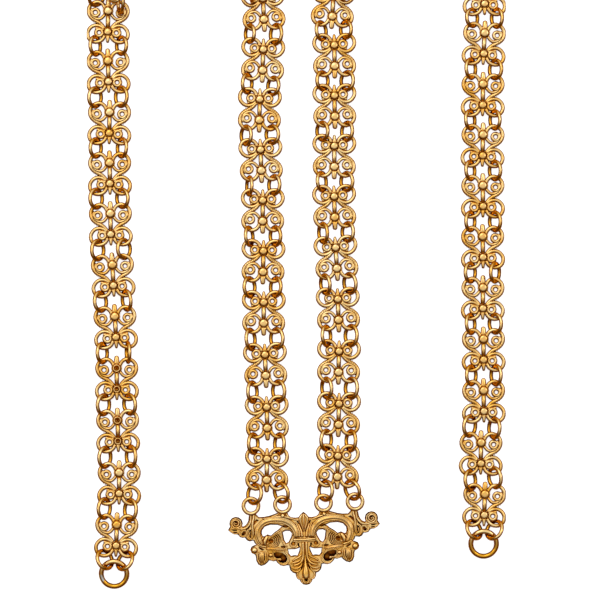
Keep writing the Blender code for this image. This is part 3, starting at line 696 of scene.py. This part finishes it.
def turned(form, profile, steps):
    """A turned knob: a profile of (radius, height) spun about an upright axis; returns its verts."""
    verts = [form.verts.new((radius, 0, height)) for radius, height in profile]
    edges = [form.edges.new(pair) for pair in zip(verts, verts[1:])]
    full_spin(form, verts + edges, steps)
    made = connected(verts[0])
    bmesh.ops.remove_doubles(form, verts=made, dist=1e-5)
    return [vert for vert in made if vert.is_valid]


def ring(form, placed, diameter, wire_width, steps, sides):
    """A round ring of round wire in the plane of the given frame."""
    middle = Matrix.Translation(((diameter - wire_width) / 2, 0, 0)) @ Matrix.Rotation(math.pi / 2, 4, "X")
    start = bmesh.ops.create_circle(form, segments=sides, radius=wire_width / 2, matrix=middle)["verts"]
    edges = list(dict.fromkeys(edge for vert in start for edge in vert.link_edges))
    full_spin(form, start + edges, steps)
    bmesh.ops.transform(form, matrix=placed, verts=connected(start[0]))


def mirrored(points, side):
    """Points of a right-hand form, on the given side."""
    return [(side * point[0], *point[1:]) for point in points]


def mesh_of(form, name):
    """Turns a bmesh into a mesh and frees it."""
    mesh = bpy.data.meshes.new(name)
    form.to_mesh(mesh)
    form.free()
    return mesh


def placed_object(name, data):
    """A new object at the origin of the scene."""
    made = bpy.data.objects.new(name, data)
    bpy.context.scene.collection.objects.link(made)
    return made


def finished_piece(form, name, material, nodes=()):
    """Turns a bmesh into a shaded object inside the solids' box that rides on the frame."""
    bmesh.ops.recalc_face_normals(form, faces=form.faces)
    for vert in form.verts:
        vert.co = [min(max(value, low), high) for value, low, high in zip(vert.co, *CAD_BOX)]
    piece = placed_object(name, mesh_of(form, name))
    piece.data.shade_smooth()
    piece.data.materials.append(material)
    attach(piece, "root")
    if nodes:
        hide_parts(*nodes)


def link_model(sizes, boss_top):
    """Mesh of one scroll link about the origin, to be copied into place."""
    form = bmesh.new()
    width, depth = sizes.wire_width / 2 / GRID, sizes.wire_depth / 2 / GRID
    boss = sizes.boss_spacing / 2 / GRID
    for side in SIDES:
        for points, wide, deep, lift in LINK_WIRES:
            wire(form, mirrored(points, side), width * wide, depth * deep, lift)
        for across, along, radius, rise in CURLS:
            placed = Matrix.Translation((side * across, along, rise))
            ring(form, placed, 2 * (radius + width * CURL_WIRE), 2 * CURL_WIRE * width, *CURL_FACETS)
        for rib in SHOULDER_RIBS:
            shoulder_rib(form, *rib, side)
    bar_width, bar_lift = BAR_SIZES
    sweep(form, [(0, end * boss, bar_lift, bar_width, depth) for end in SIDES], WIRE_SIDES, steps=1)
    for end, root, rows, sides in STUBS:
        rows = [(end * boss, *root), *rows]
        sweep(form, [(0, along, 0, half, height) for along, half, height in rows], sides, steps=1)
    top = depth + sizes.boss_height / GRID
    for end, radius, reach in BOSSES:
        profile = [(0, -depth), (radius * COLLAR_FOOT, -depth)]
        profile += [(radius * share, height) for share, height in COLLAR]
        profile += [(radius * share, top + rise) for share, rise in boss_top]
        made = turned(form, profile, BOSS_STEPS)
        tail = [vert for vert in made if vert.co.y * end > 0 and vert.co.z < COLLAR_TOP]
        bmesh.ops.scale(form, verts=tail, vec=(1, reach, 1))
        bmesh.ops.translate(form, verts=made, vec=(0, end * boss, 0))
    bmesh.ops.scale(form, verts=form.verts, vec=(GRID, GRID, GRID))
    return mesh_of(form, "link_model")


def shoulder_rib(form, across, along, turn, side):
    """A short rib over the crossing of a link's wires."""
    half_length, half_width, half_height, lift = RIB_SIZES
    step = Vector((math.cos(math.radians(turn)), math.sin(math.radians(turn)))) * half_length
    ends = [(across - step.x, along - step.y), (across + step.x, along + step.y)]
    wire(form, mirrored(ends, side), half_width, half_height, lift, SHOULDER_RIB_SIDES, steps=1)


def ring_model(diameter, wire_width, steps, sides):
    """Mesh of one round ring about the origin, to be copied into place."""
    form = bmesh.new()
    ring(form, Matrix(), diameter, wire_width, steps, sides)
    return mesh_of(form, "ring_model")


def add_copy(form, model, placed):
    """Puts a copy of a mesh into a bmesh at a frame."""
    known = len(form.verts)
    form.from_mesh(model)
    form.verts.ensure_lookup_table()
    bmesh.ops.transform(form, matrix=placed, verts=form.verts[known:])


def thread_point(side_name, count, side, end, sizes):
    """Middle of the wire at a link's pointed (1) or thick (-1) end that a ring wraps."""
    reach = sizes.point_thread if end > 0 else -sizes.thick_thread
    return strand_frame(side_name, count) @ Vector((side * sizes.lobe_reach, reach, 0))


def ring_frame(side_name, joint, side, sizes, chance):
    """Frame and stretch of the jump ring on one side of the joint after a link."""
    before = thread_point(side_name, joint, side, 1, sizes)
    after = thread_point(side_name, joint + 1, side, -1, sizes)
    span = (after - before).length + sizes.wire_width + 2 * sizes.ring_wire
    stretch = max(1.0, span / sizes.ring_diameter)
    outer = side_name == "left" and joint >= OUTER_START
    seat = OUTER_SEATS[side] if outer else RING_SEATS[side_name, side]
    lean, middle = STEEP_RINGS.get((side_name, side, joint), seat)
    lean = math.radians(lean + chance.uniform(-RING_SCATTER, RING_SCATTER))
    lift = (sizes.ring_diameter - sizes.ring_wire) / 2 * math.sin(lean) + sizes.ring_wire / 2 - REST * MM
    if side < 0 and joint in TURNED_RINGS[side_name]:
        lean = -lean
    place = Matrix.Translation((side * middle * GRID, 0, lift))
    turn = Matrix.Rotation(math.radians(chance.uniform(-RING_TWIST, RING_TWIST)), 4, "Z")
    tilt = Matrix.Rotation(-side * lean, 4, "Y")
    return strand_frame(side_name, joint + 0.5) @ place @ turn @ tilt, stretch


class BuildLinks(bpy.types.Operator):
    """Models the scroll links of both strands"""

    bl_idname = "clergy_chain.build_links"
    bl_label = "Scroll links"

    def execute(self, context):
        chance = random.Random(LINK_SEED)
        sizes = context.scene.chain_sizes
        whole, hollow = link_model(sizes, WHOLE_BOSS), link_model(sizes, HOLLOW_BOSS)
        for side_name in STRANDS:
            form = bmesh.new()
            for count in range(LINKS_PER_STRAND):
                sway = Matrix.Rotation(math.radians(chance.uniform(-LINK_SWAY, LINK_SWAY)), 4, "Z")
                tip = Matrix.Rotation(math.radians(chance.uniform(-LINK_TIP, LINK_TIP)), 4, "Y")
                placed = strand_frame(side_name, count)
                squeeze = Matrix.Diagonal((1 - EDGE_SQUEEZE * abs(placed.col[0].z), 1, 1, 1))
                model = hollow if count in HOLLOW_LINKS[side_name] else whole
                add_copy(form, model, placed @ sway @ tip @ squeeze)
            nodes = ["chain_" + side_name]
            finished_piece(form, "scroll_links_" + side_name, gold("link_gold"), nodes)
        bpy.data.meshes.remove(whole)
        bpy.data.meshes.remove(hollow)
        return {"FINISHED"}


class BuildJumpRings(bpy.types.Operator):
    """Models the pairs of jump rings between the links"""

    bl_idname = "clergy_chain.build_jump_rings"
    bl_label = "Jump rings"

    def execute(self, context):
        chance = random.Random(RING_SEED)
        sizes = context.scene.chain_sizes
        model = ring_model(sizes.ring_diameter, sizes.ring_wire, *JUMP_FACETS)
        for side_name in STRANDS:
            form = bmesh.new()
            for joint in range(LINKS_PER_STRAND - 1):
                for side in SIDES:
                    placed, stretch = ring_frame(side_name, joint, side, sizes, chance)
                    add_copy(form, model, placed @ Matrix.Diagonal((1, stretch, 1, 1)))
            finished_piece(form, "jump_rings_" + side_name, gold("ring_gold"))
        bpy.data.meshes.remove(model)
        return {"FINISHED"}


def leaning_frame(first, second, aside, lean, side, sizes):
    """Frame of a large jump ring through two places, leaning over and touching the floor."""
    along = Vector((second.x - first.x, second.y - first.y, 0)).normalized()
    level = along.cross(Vector((0, 0, 1)))
    rise = level * side * math.cos(lean) + level.cross(along) * math.sin(lean)
    placed = Matrix((along, rise, along.cross(rise))).transposed().to_4x4()
    placed.translation = (first + second) / 2 + level * side * aside
    mean = (sizes.jump_diameter - sizes.jump_wire) / 2
    placed.translation.z = mean * math.sin(lean) + sizes.jump_wire / 2
    return placed


def end_ring_frame(side_name, sizes):
    """Frame of an end ring: Y points at the last link, and that side is raised."""
    centre = Vector((*END_RING_PLACES[side_name], 0)) * MM + DRAWING_MIDDLE
    low, high = sizes.end_wire / 2, END_RING_RAISED * MM
    centre.z = (low + high) / 2
    last = strand_frame(side_name, LINKS_PER_STRAND - 1).translation
    turn = math.atan2(centre.x - last.x, last.y - centre.y)
    slope = math.asin((high - low) / (sizes.end_diameter - sizes.end_wire))
    return Matrix.Translation(centre) @ Matrix.Rotation(turn, 4, "Z") @ Matrix.Rotation(slope, 4, "X")


def build_eye_rings(model, sizes, chain):
    """Models the jump rings from the ornament's eyes to the first link of each strand."""
    form = bmesh.new()
    eyes = iter(sorted(side * across * GRID for across in EYES_ACROSS for side in SIDES))
    mean = (sizes.eye_diameter - sizes.eye_wire) / 2
    for side_name in STRANDS:
        for side in SIDES:
            eye = ornament_frame() @ Vector((next(eyes), 0, sizes.eye_height))
            thread = thread_point(side_name, 0, side, -1, chain)
            towards = Vector((thread.x - eye.x, thread.y - eye.y, 0)).normalized()
            start = eye + towards * mean
            add_copy(form, model, leaning_frame(start, thread, EYE_RING_ASIDE, sizes.jump_lean, 1, sizes))
    nodes = ["ornament_jump_ring_" + str(number) for number in range(1, 5)]
    finished_piece(form, "ornament_rings", gold("ring_gold"), nodes)


def build_end_rings(model, side_name, sizes, chain):
    """Models the end ring of a strand and its two jump rings."""
    form = bmesh.new()
    placed = end_ring_frame(side_name, sizes)
    mean = (sizes.end_diameter - sizes.end_wire) / 2
    ring(form, placed, sizes.end_diameter, sizes.end_wire, *END_RING_FACETS)
    for side in SIDES:
        thread = thread_point(side_name, LINKS_PER_STRAND - 1, side, 1, chain)
        angle = side * math.radians(END_RING_GRIP)
        grip = placed @ Vector((-mean * math.sin(angle), mean * math.cos(angle), 0))
        leaning = leaning_frame(thread, grip, END_RING_ASIDE, sizes.end_jump_lean, side, sizes)
        add_copy(form, model, leaning)
    nodes = ["end_ring_" + side_name]
    nodes += ["end_jump_ring_" + side_name + end for end in ("_inner", "_outer")]
    material = gold("ring_gold", side_name == "left")
    finished_piece(form, "end_rings_" + side_name, material, nodes)


class BuildLargeRings(bpy.types.Operator):
    """Models the ornament's jump rings, and the end rings with theirs"""

    bl_idname = "clergy_chain.build_large_rings"
    bl_label = "Large rings"

    def execute(self, context):
        sizes, chain = context.scene.ornament_sizes, context.scene.chain_sizes
        model = ring_model(sizes.jump_diameter, sizes.jump_wire, *LARGE_JUMP_FACETS)
        build_eye_rings(model, sizes, chain)
        for side_name in STRANDS:
            build_end_rings(model, side_name, sizes, chain)
        bpy.data.meshes.remove(model)
        return {"FINISHED"}


def ridge_height(half):
    """Height of a ridge over its foot for its half width."""
    return RIDGE_LEAST + RIDGE_GAIN * min(half, RIDGE_BROAD)


def relief(form, rows, side=1):
    """A raised bar of (across, up, half width) rows with its widest line at the foot."""
    rows = [(side * across, up, RIDGE_FOOT, half, ridge_height(half)) for across, up, half in rows]
    sweep(form, rows, RIDGE_SIDES)


def band(form, rows, side):
    """A broad raised bar with fine ribs along it."""
    relief(form, rows, side)
    for share in BAND_RIBS:
        rib = []
        for index, (across, up, half) in enumerate(rows):
            along = heading(rows, index) * share * half
            level = RIDGE_FOOT + ridge_height(half) * math.sqrt(1 - share * share) - BAND_RIB_SUNK
            place = (side * (across - along.y), up + along.x, level)
            rib.append((*place, BAND_RIB_WIDTH * half, BAND_RIB_HEIGHT))
        sweep(form, rib, BAND_RIB_SIDES)


def shell_rib(form, share, side):
    """One rib of the shell, at a share of the way from the outermost to the innermost."""
    half, height, sunk, narrowed = SHELL_RIB
    rib = []
    last = len(SHELL_RIBS[0]) - 1
    for index, (outer, inner) in enumerate(zip(*SHELL_RIBS)):
        across, up = (far + (near - far) * share for far, near in zip(outer, inner))
        width = half if 0 < index < last else half * narrowed
        rib.append((side * across, up, RIDGE_FOOT - sunk, width, height))
    sweep(form, rib, RIDGE_SIDES)


def collar_ridge(form, up, half):
    """A ridge across the ornament's collar that sags in the middle."""
    ends = [(-COLLAR_REACH, up, half * COLLAR_END), (-COLLAR_REACH * COLLAR_FULL, up, half)]
    relief(form, ends + [(0, up - COLLAR_SAG, half)] + mirrored(reversed(ends), -1))


def knob(form, middle, radius):
    """A low rounded knob."""
    stretch = Matrix.Diagonal((radius, radius, KNOB_LEAST + KNOB_GAIN * radius, 1))
    placed = Matrix.Translation((*middle, RIDGE_FOOT)) @ stretch
    bmesh.ops.create_uvsphere(form, u_segments=14, v_segments=8, radius=1, matrix=placed)


def volute(form, middle, radius, start, turn, side):
    """A spiral ridge that winds in to a small knob."""
    rows = []
    steps = round(turn / VOLUTE_STEP)
    for step in range(steps + 1):
        share = step / steps
        angle = math.radians(start + turn * share)
        reach = radius * (1 - VOLUTE_CLOSING * share)
        width = radius * VOLUTE_RIDGE * (1 - VOLUTE_THINNING * share)
        rows.append((middle[0] + reach * math.cos(angle), middle[1] + reach * math.sin(angle), width))
    relief(form, rows, side)
    knob(form, (side * middle[0], middle[1]), radius * VOLUTE_KNOB)


def closed_loop(form, points):
    """A closed loop of edges through points of (across, up)."""
    verts = [form.verts.new((across, up, 0)) for across, up in points]
    return [form.edges.new(pair) for pair in zip(verts, verts[1:] + verts[:1])]


def both_sides(points):
    """A right-hand half outline closed by its mirror image."""
    return points + [(-across, up) for across, up in reversed(points) if across > 0]


def grown(points, margin):
    """A closed outline moved outward by a margin."""
    ahead = points[1:] + points[:1]
    turn = sum(point[0] * after[1] - after[0] * point[1] for point, after in zip(points, ahead))
    margin = math.copysign(margin, -turn * margin)
    moved = []
    for before, point, after in zip(points[-1:] + points[:-1], points, ahead):
        along = Vector((after[0] - before[0], after[1] - before[1])).normalized() * margin
        moved.append((point[0] - along.y, point[1] + along.x))
    return moved


def plate(form, loops, low, high, bevel):
    """A flat plate inside the first loop and outside the others, with a rounded upper rim."""
    part = bmesh.new()
    edges = [edge for loop in loops for edge in closed_loop(part, loop)]
    faces = bmesh.ops.triangle_fill(part, edges=edges, use_beauty=True, use_dissolve=False)["geom"]
    faces = [face for face in faces if isinstance(face, bmesh.types.BMFace)]
    bmesh.ops.translate(part, verts=part.verts, vec=(0, 0, low))
    extruded = bmesh.ops.extrude_face_region(part, geom=faces, use_keep_orig=True)["geom"]
    raised = [item for item in extruded if isinstance(item, bmesh.types.BMVert)]
    bmesh.ops.translate(part, verts=raised, vec=(0, 0, high - low))
    bmesh.ops.recalc_face_normals(part, faces=part.faces)
    if bevel:
        rim = [
            edge
            for edge in part.edges
            if all(vert.co.z > (low + high) / 2 for vert in edge.verts)
            and any(abs(face.normal.z) < 0.5 for face in edge.link_faces)
        ]
        bmesh.ops.bevel(
            part, geom=rim, offset=bevel, segments=2, profile=0.5,
            affect="EDGES", material=-1, clamp_overlap=True,
        )
    mesh = mesh_of(part, "plate")
    form.from_mesh(mesh)
    bpy.data.meshes.remove(mesh)


def ornament_plates(form):
    """The casting's back, ledge and ground, one over the other, with their openings and hollows."""
    outline = grown(both_sides(ORNAMENT_OUTLINE), OUTLINE_MARGIN)
    windows = [grown(loop, -OUTLINE_MARGIN) for loop in on_both_sides(ORNAMENT_WINDOWS.values())]
    deep = on_both_sides(DEEP_HOLLOWS.values()) + [both_sides(HOLLOW_TIP)]
    slots = on_both_sides([SHELL_SLOT])
    shallow = on_both_sides(SHALLOW_HOLLOWS.values()) + on_both_sides(circle(*row) for row in ROUND_HOLLOWS)
    # Step in from the outline, hollows, foot, top and bevel of each plate
    levels = [
        (0.0, [], 0.0, BACK_HEIGHT, 0.0),
        (LEDGE_STEP, deep + slots, BACK_HEIGHT / 2, LEDGE_HEIGHT, 0.0),
        (GROUND_STEP, deep + shallow, LEDGE_HEIGHT / 2, GROUND_HEIGHT, GROUND_BEVEL),
    ]
    for step, hollows, low, high, bevel in levels:
        rims = [grown(outline, -step)] + [grown(loop, step) for loop in windows]
        plate(form, rims + hollows, low, high, bevel)


def on_both_sides(loops):
    """Right-hand loops, each with its mirror image before it."""
    return [mirrored(loop, side) for loop in loops for side in SIDES]


def circle(across, up, radius):
    """Ten points round a middle."""
    turns = [math.pi / 5 * step for step in range(10)]
    return [(across + radius * math.cos(turn), up + radius * math.sin(turn)) for turn in turns]


def ornament_relief(form):
    """Everything that is raised from the casting's ground."""
    for rows in MIDDLE_RIDGES.values():
        relief(form, rows)
    for up, half in COLLAR_RIDGES:
        collar_ridge(form, up, half)
    for side in SIDES:
        for rows in ORNAMENT_BANDS.values():
            band(form, rows, side)
        for rows in ORNAMENT_RIDGES.values():
            relief(form, rows, side)
        for count in range(SHELL_RIB_COUNT):
            shell_rib(form, count / (SHELL_RIB_COUNT - 1), side)
        for across, up, radius in ORNAMENT_KNOBS:
            knob(form, (side * across, up), radius)
        for across, up, radius, start, turn in ORNAMENT_VOLUTES:
            volute(form, (across, up), radius, start, turn, side)


def ornament_frame():
    """X across the ornament, Y up it, from the middle of its row of eyes."""
    place = DRAWING_MIDDLE + Vector(ORNAMENT_PLACE) * MM
    return Matrix.Translation(place) @ Matrix.Rotation(math.radians(ORNAMENT_TURN), 4, "Z")


class BuildOrnament(bpy.types.Operator):
    """Models the cast ornament with its four eyes"""

    bl_idname = "clergy_chain.build_ornament"
    bl_label = "Ornament"

    def execute(self, context):
        sizes = context.scene.ornament_sizes
        form = bmesh.new()
        ornament_plates(form)
        ornament_relief(form)
        for vert in form.verts:
            vert.co.z = max(vert.co.z, 0)
        bmesh.ops.scale(form, verts=form.verts, vec=(GRID, GRID, GRID))
        for across in EYES_ACROSS:
            for side in SIDES:
                placed = Matrix.Translation((side * across * GRID, 0, sizes.eye_height))
                ring(form, placed, sizes.eye_diameter, sizes.eye_wire, *EYE_FACETS)
        bmesh.ops.transform(form, matrix=ornament_frame(), verts=form.verts)
        finished_piece(form, "cast_ornament", gold("relief_gold"), ["ornament"])
        return {"FINISHED"}


def feed(tree, socket, value):
    """Links an output to a socket, or sets the socket to a value."""
    if isinstance(value, bpy.types.NodeSocket):
        tree.links.new(value, socket)
    else:
        socket.default_value = value


def maths(tree, operation, *values, clamp=False):
    """A math node on values or sockets; returns its output."""
    node = tree.nodes.new("ShaderNodeMath")
    node.operation = operation
    node.use_clamp = clamp
    for socket, value in zip(node.inputs, values):
        feed(tree, socket, value)
    return node.outputs[0]


def ranged(tree, value, low, high):
    """A value stretched so that low becomes 0 and high becomes 1, eased at both ends."""
    node = tree.nodes.new("ShaderNodeMapRange")
    node.interpolation_type = "SMOOTHSTEP"
    for name, given in (("Value", value), ("From Min", low), ("From Max", high)):
        feed(tree, node.inputs[name], given)
    return node.outputs["Result"]


def mixed(tree, share, first, second):
    """A colour between two colours or colour sockets."""
    node = tree.nodes.new("ShaderNodeMix")
    node.data_type = "RGBA"
    for name, given in (("Factor", share), ("A", first), ("B", second)):
        feed(tree, node.inputs[name], given)
    return node.outputs["Result"]


def noise(tree, place, scale, detail):
    """A noise pattern's value, with features the given number to the metre."""
    node = tree.nodes.new("ShaderNodeTexNoise")
    for name, given in (("Scale", scale), ("Detail", detail), ("Vector", place)):
        feed(tree, node.inputs[name], given)
    return node.outputs["Fac"]


def drift(tree, pattern, amount):
    """A noise pattern about nought, times an amount."""
    return maths(tree, "MULTIPLY", maths(tree, "SUBTRACT", pattern, 0.5), amount)


def axis_of(tree, vector, axis):
    """One coordinate of a vector socket."""
    node = tree.nodes.new("ShaderNodeSeparateXYZ")
    tree.links.new(vector, node.inputs["Vector"])
    return node.outputs[axis]


def by_camera(tree, seen, mirrored_tone):
    """The first colour for the camera, and the second for all light that the chain mirrors."""
    path = tree.nodes.new("ShaderNodeLightPath")
    return mixed(tree, path.outputs["Is Camera Ray"], mirrored_tone, seen)


def opaque(colour):
    """A colour with full alpha."""
    return (*colour, 1)


def gilding_group():
    """Gilding with painted light: a pale painted highlight on open, level, raised places, and brown painted
    shade in the crowded, steep and low ones.
    """
    name = "gilding"
    if name in bpy.data.node_groups:
        return bpy.data.node_groups[name]
    group = bpy.data.node_groups.new(name, "ShaderNodeTree")
    sockets = group.interface
    for colour in ("Bright", "Amber", "Tarnish"):
        sockets.new_socket(colour, in_out="INPUT", socket_type="NodeSocketColor")
    for number, value in GILDING_NUMBERS.items():
        sockets.new_socket(number, in_out="INPUT", socket_type="NodeSocketFloat").default_value = value
    sockets.new_socket("Color", in_out="OUTPUT", socket_type="NodeSocketColor")
    for number in ("Roughness", "Height"):
        sockets.new_socket(number, in_out="OUTPUT", socket_type="NodeSocketFloat")
    given = group.nodes.new("NodeGroupInput").outputs
    result = group.nodes.new("NodeGroupOutput").inputs
    place = group.nodes.new("ShaderNodeTexCoord").outputs["Object"]
    normal = group.nodes.new("ShaderNodeNewGeometry").outputs["Normal"]

    # Painted shade: darker where other parts crowd close round a place
    depth = group.nodes.new("ShaderNodeAmbientOcclusion")
    depth.samples = 6
    group.links.new(given["Groove Width"], depth.inputs["Distance"])
    # Painted shade and light: steep sides darker, level tops lighter
    facing = axis_of(group, normal, "Z")
    slope = ranged(group, facing, given["Dark Slope"], LEVEL_SLOPE)
    slope = maths(group, "MULTIPLY_ADD", slope, 1 - STEEP_LIGHT_SHARE, STEEP_LIGHT_SHARE)
    # Painted shade: low places darker
    height = axis_of(group, place, "Z")
    raised = ranged(group, height, given["Dark Height"], given["Clear Height"])
    raised = maths(group, "MULTIPLY_ADD", raised, 1 - LOW_LIGHT_SHARE, LOW_LIGHT_SHARE)
    painted_light = maths(group, "MULTIPLY", slope, ranged(group, depth.outputs["AO"], *SHADE_RANGE))
    painted_light = maths(group, "MULTIPLY", painted_light, raised)
    wear = drift(group, noise(group, place, *WEAR_NOISE), given["Variation"])
    painted_light = maths(group, "ADD", painted_light, wear, clamp=True)

    # Brown of the painted shade, through amber, by how much painted light a place gets
    ember = mixed(group, ranged(group, painted_light, *AMBER_RANGE), given["Tarnish"], given["Amber"])
    # Painted highlight: pale gold where the painted light is strongest, broken up in random patches
    patches = drift(group, noise(group, place, *PATCH_NOISE), given["Variation"])
    painted_highlight = ranged(group, maths(group, "ADD", painted_light, patches), *BRIGHT_RANGE)
    group.links.new(mixed(group, painted_highlight, ember, given["Bright"]), result["Color"])
    rough = maths(group, "MULTIPLY_ADD", painted_light, -LIGHT_SMOOTHER, SHADE_ROUGHNESS)
    group.links.new(maths(group, "MULTIPLY", rough, given["Dullness"]), result["Roughness"])
    group.links.new(noise(group, place, *SURFACE_NOISE), result["Height"])
    return group


def gold(name, soldered=False):
    """The gold of that name, made once, with or without the patch of solder."""
    look = GOLD_LOOKS[name]
    name += "_soldered" if soldered else ""
    if name in bpy.data.materials:
        return bpy.data.materials[name]
    colours = bpy.context.scene.gold_colours
    material = bpy.data.materials.new(name)
    material.use_nodes = True
    tree = material.node_tree
    shader = tree.nodes["Principled BSDF"]
    shader.inputs["Metallic"].default_value = 1.0
    shader.inputs["Specular Tint"].default_value = opaque(colours.edge_tint)
    gilding = tree.nodes.new("ShaderNodeGroup")
    gilding.node_tree = gilding_group()
    tones = {"Bright": colours.bright, "Amber": colours.amber, "Tarnish": colours.tarnish}
    for socket, tone in tones.items():
        gilding.inputs[socket].default_value = opaque(tone)
    for socket, value in zip(("Dark Height", "Clear Height", "Dark Slope", "Dullness"), look):
        gilding.inputs[socket].default_value = value
    bump = tree.nodes.new("ShaderNodeBump")
    bump.inputs["Strength"].default_value = BUMP_STRENGTH
    bump.inputs["Distance"].default_value = BUMP_DISTANCE
    colour = gilding.outputs["Color"]
    if soldered:
        colour = with_solder(tree, colour, colours.solder)
    tree.links.new(colour, shader.inputs["Base Color"])
    tree.links.new(gilding.outputs["Roughness"], shader.inputs["Roughness"])
    tree.links.new(gilding.outputs["Height"], bump.inputs["Height"])
    tree.links.new(bump.outputs["Normal"], shader.inputs["Normal"])
    return material


def with_solder(tree, colour, solder):
    """The given colour with the pale patch of solder on the left end ring."""
    place = tree.nodes.new("ShaderNodeTexCoord").outputs["Object"]
    reach = tree.nodes.new("ShaderNodeVectorMath")
    reach.operation = "DISTANCE"
    tree.links.new(place, reach.inputs[0])
    reach.inputs[1].default_value = SOLDER_PLACE
    patch = maths(tree, "SUBTRACT", 1.0, ranged(tree, reach.outputs["Value"], *SOLDER_REACH))
    return mixed(tree, patch, colour, opaque(solder))


class BuildStage(bpy.types.Operator):
    """Sets the floor, the lights and the camera above the chain"""

    bl_idname = "clergy_chain.build_stage"
    bl_label = "Stage"

    def execute(self, context):
        look, scene = context.scene.stage_look, context.scene
        form = bmesh.new()
        bmesh.ops.create_grid(form, x_segments=1, y_segments=1, size=FLOOR_REACH)
        floor = placed_object("floor", mesh_of(form, "floor"))
        floor.data.materials.append(floor_material(look))

        camera = bpy.data.cameras.new("camera")
        camera.lens = look.lens
        camera.sensor_width = SENSOR_WIDTH
        camera.clip_end = 10
        scene.camera = placed_object("camera", camera)
        height = look.picture_width * look.lens / camera.sensor_width
        scene.camera.location = DRAWING_MIDDLE + Vector((0, 0, height + REST * MM))

        for light in LIGHTS:
            add_light(*light)
        set_sky(scene)
        scene.view_settings.view_transform = "Standard"
        return {"FINISHED"}


def floor_material(look):
    """A plain pale floor that the chain mirrors dimmer and warmer."""
    material = bpy.data.materials.new("floor_white")
    material.use_nodes = True
    tree = material.node_tree
    shader = tree.nodes["Principled BSDF"]
    shader.inputs["Roughness"].default_value = 0.9
    shader.inputs["Specular IOR Level"].default_value = 0.0
    shader.inputs["Emission Strength"].default_value = FLOOR_GLOW
    tone = by_camera(tree, opaque(look.floor_colour), opaque(FLOOR_MIRRORED))
    for name in ("Base Color", "Emission Color"):
        tree.links.new(tone, shader.inputs[name])
    return material


def add_light(name, place, size, power):
    """A square soft light aimed at the middle of the chain."""
    light = bpy.data.lights.new(name, "AREA")
    light.size = size
    light.energy = power
    light.color = STUDIO_WHITE
    holder = placed_object(name, light)
    holder.location = place
    holder.rotation_euler = (-Vector(place)).to_track_quat("-Z", "Y").to_euler()


def set_sky(scene):
    """Surroundings that are bright overhead and beyond the turns, and dim at the horizon."""
    world = bpy.data.worlds.new("studio")
    world.use_nodes = True
    tree = world.node_tree
    background = tree.nodes["Background"]
    place = tree.nodes.new("ShaderNodeTexCoord").outputs["Generated"]
    ramp = tree.nodes.new("ShaderNodeValToRGB")
    for stop, (height, colour) in zip(ramp.color_ramp.elements, SKY_TONES):
        stop.position = height
        stop.color = opaque(colour)
    ahead, upward = axis_of(tree, place, "Y"), axis_of(tree, place, "Z")
    tilted = maths(tree, "MULTIPLY_ADD", ahead, SKY_TILT, upward)
    tree.links.new(tilted, ramp.inputs["Fac"])
    tone = by_camera(tree, opaque(SKY_SEEN), ramp.outputs["Color"])
    tree.links.new(tone, background.inputs["Color"])
    background.inputs["Strength"].default_value = SKY_STRENGTH
    scene.world = world


class ChainPanel(bpy.types.Panel):
    """Lists the pieces of the chain"""

    bl_idname = "VIEW3D_PT_clergy_chain"
    bl_label = "Clergy chain"
    bl_space_type = "VIEW_3D"
    bl_region_type = "UI"
    bl_category = "Clergy chain"

    def draw(self, context):
        for operator in OPERATORS:
            self.layout.operator(operator.bl_idname)


OPERATORS = (BuildLinks, BuildJumpRings, BuildLargeRings, BuildOrnament, BuildStage)
CLASSES = (ChainSizes, OrnamentSizes, GoldColours, StageLook, *OPERATORS, ChainPanel)


def register():
    """Adds the classes, and their sizes and colours to the scene."""
    for cls in CLASSES:
        bpy.utils.register_class(cls)
    bpy.types.Scene.chain_sizes = bpy.props.PointerProperty(type=ChainSizes)
    bpy.types.Scene.ornament_sizes = bpy.props.PointerProperty(type=OrnamentSizes)
    bpy.types.Scene.gold_colours = bpy.props.PointerProperty(type=GoldColours)
    bpy.types.Scene.stage_look = bpy.props.PointerProperty(type=StageLook)


def unregister():
    """Takes them away again."""
    del bpy.types.Scene.chain_sizes
    del bpy.types.Scene.ornament_sizes
    del bpy.types.Scene.gold_colours
    del bpy.types.Scene.stage_look
    for cls in reversed(CLASSES):
        bpy.utils.unregister_class(cls)


def main():
    """Builds and gilds everything, gives the solids ring gold, and sets the stage."""
    register()
    bpy.ops.clergy_chain.build_links()
    bpy.ops.clergy_chain.build_jump_rings()
    bpy.ops.clergy_chain.build_large_rings()
    bpy.ops.clergy_chain.build_ornament()
    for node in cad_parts.values():
        node.data.materials.clear()
        node.data.materials.append(gold("ring_gold"))
    bpy.ops.clergy_chain.build_stage()


if __name__ == "__main__":
    main()
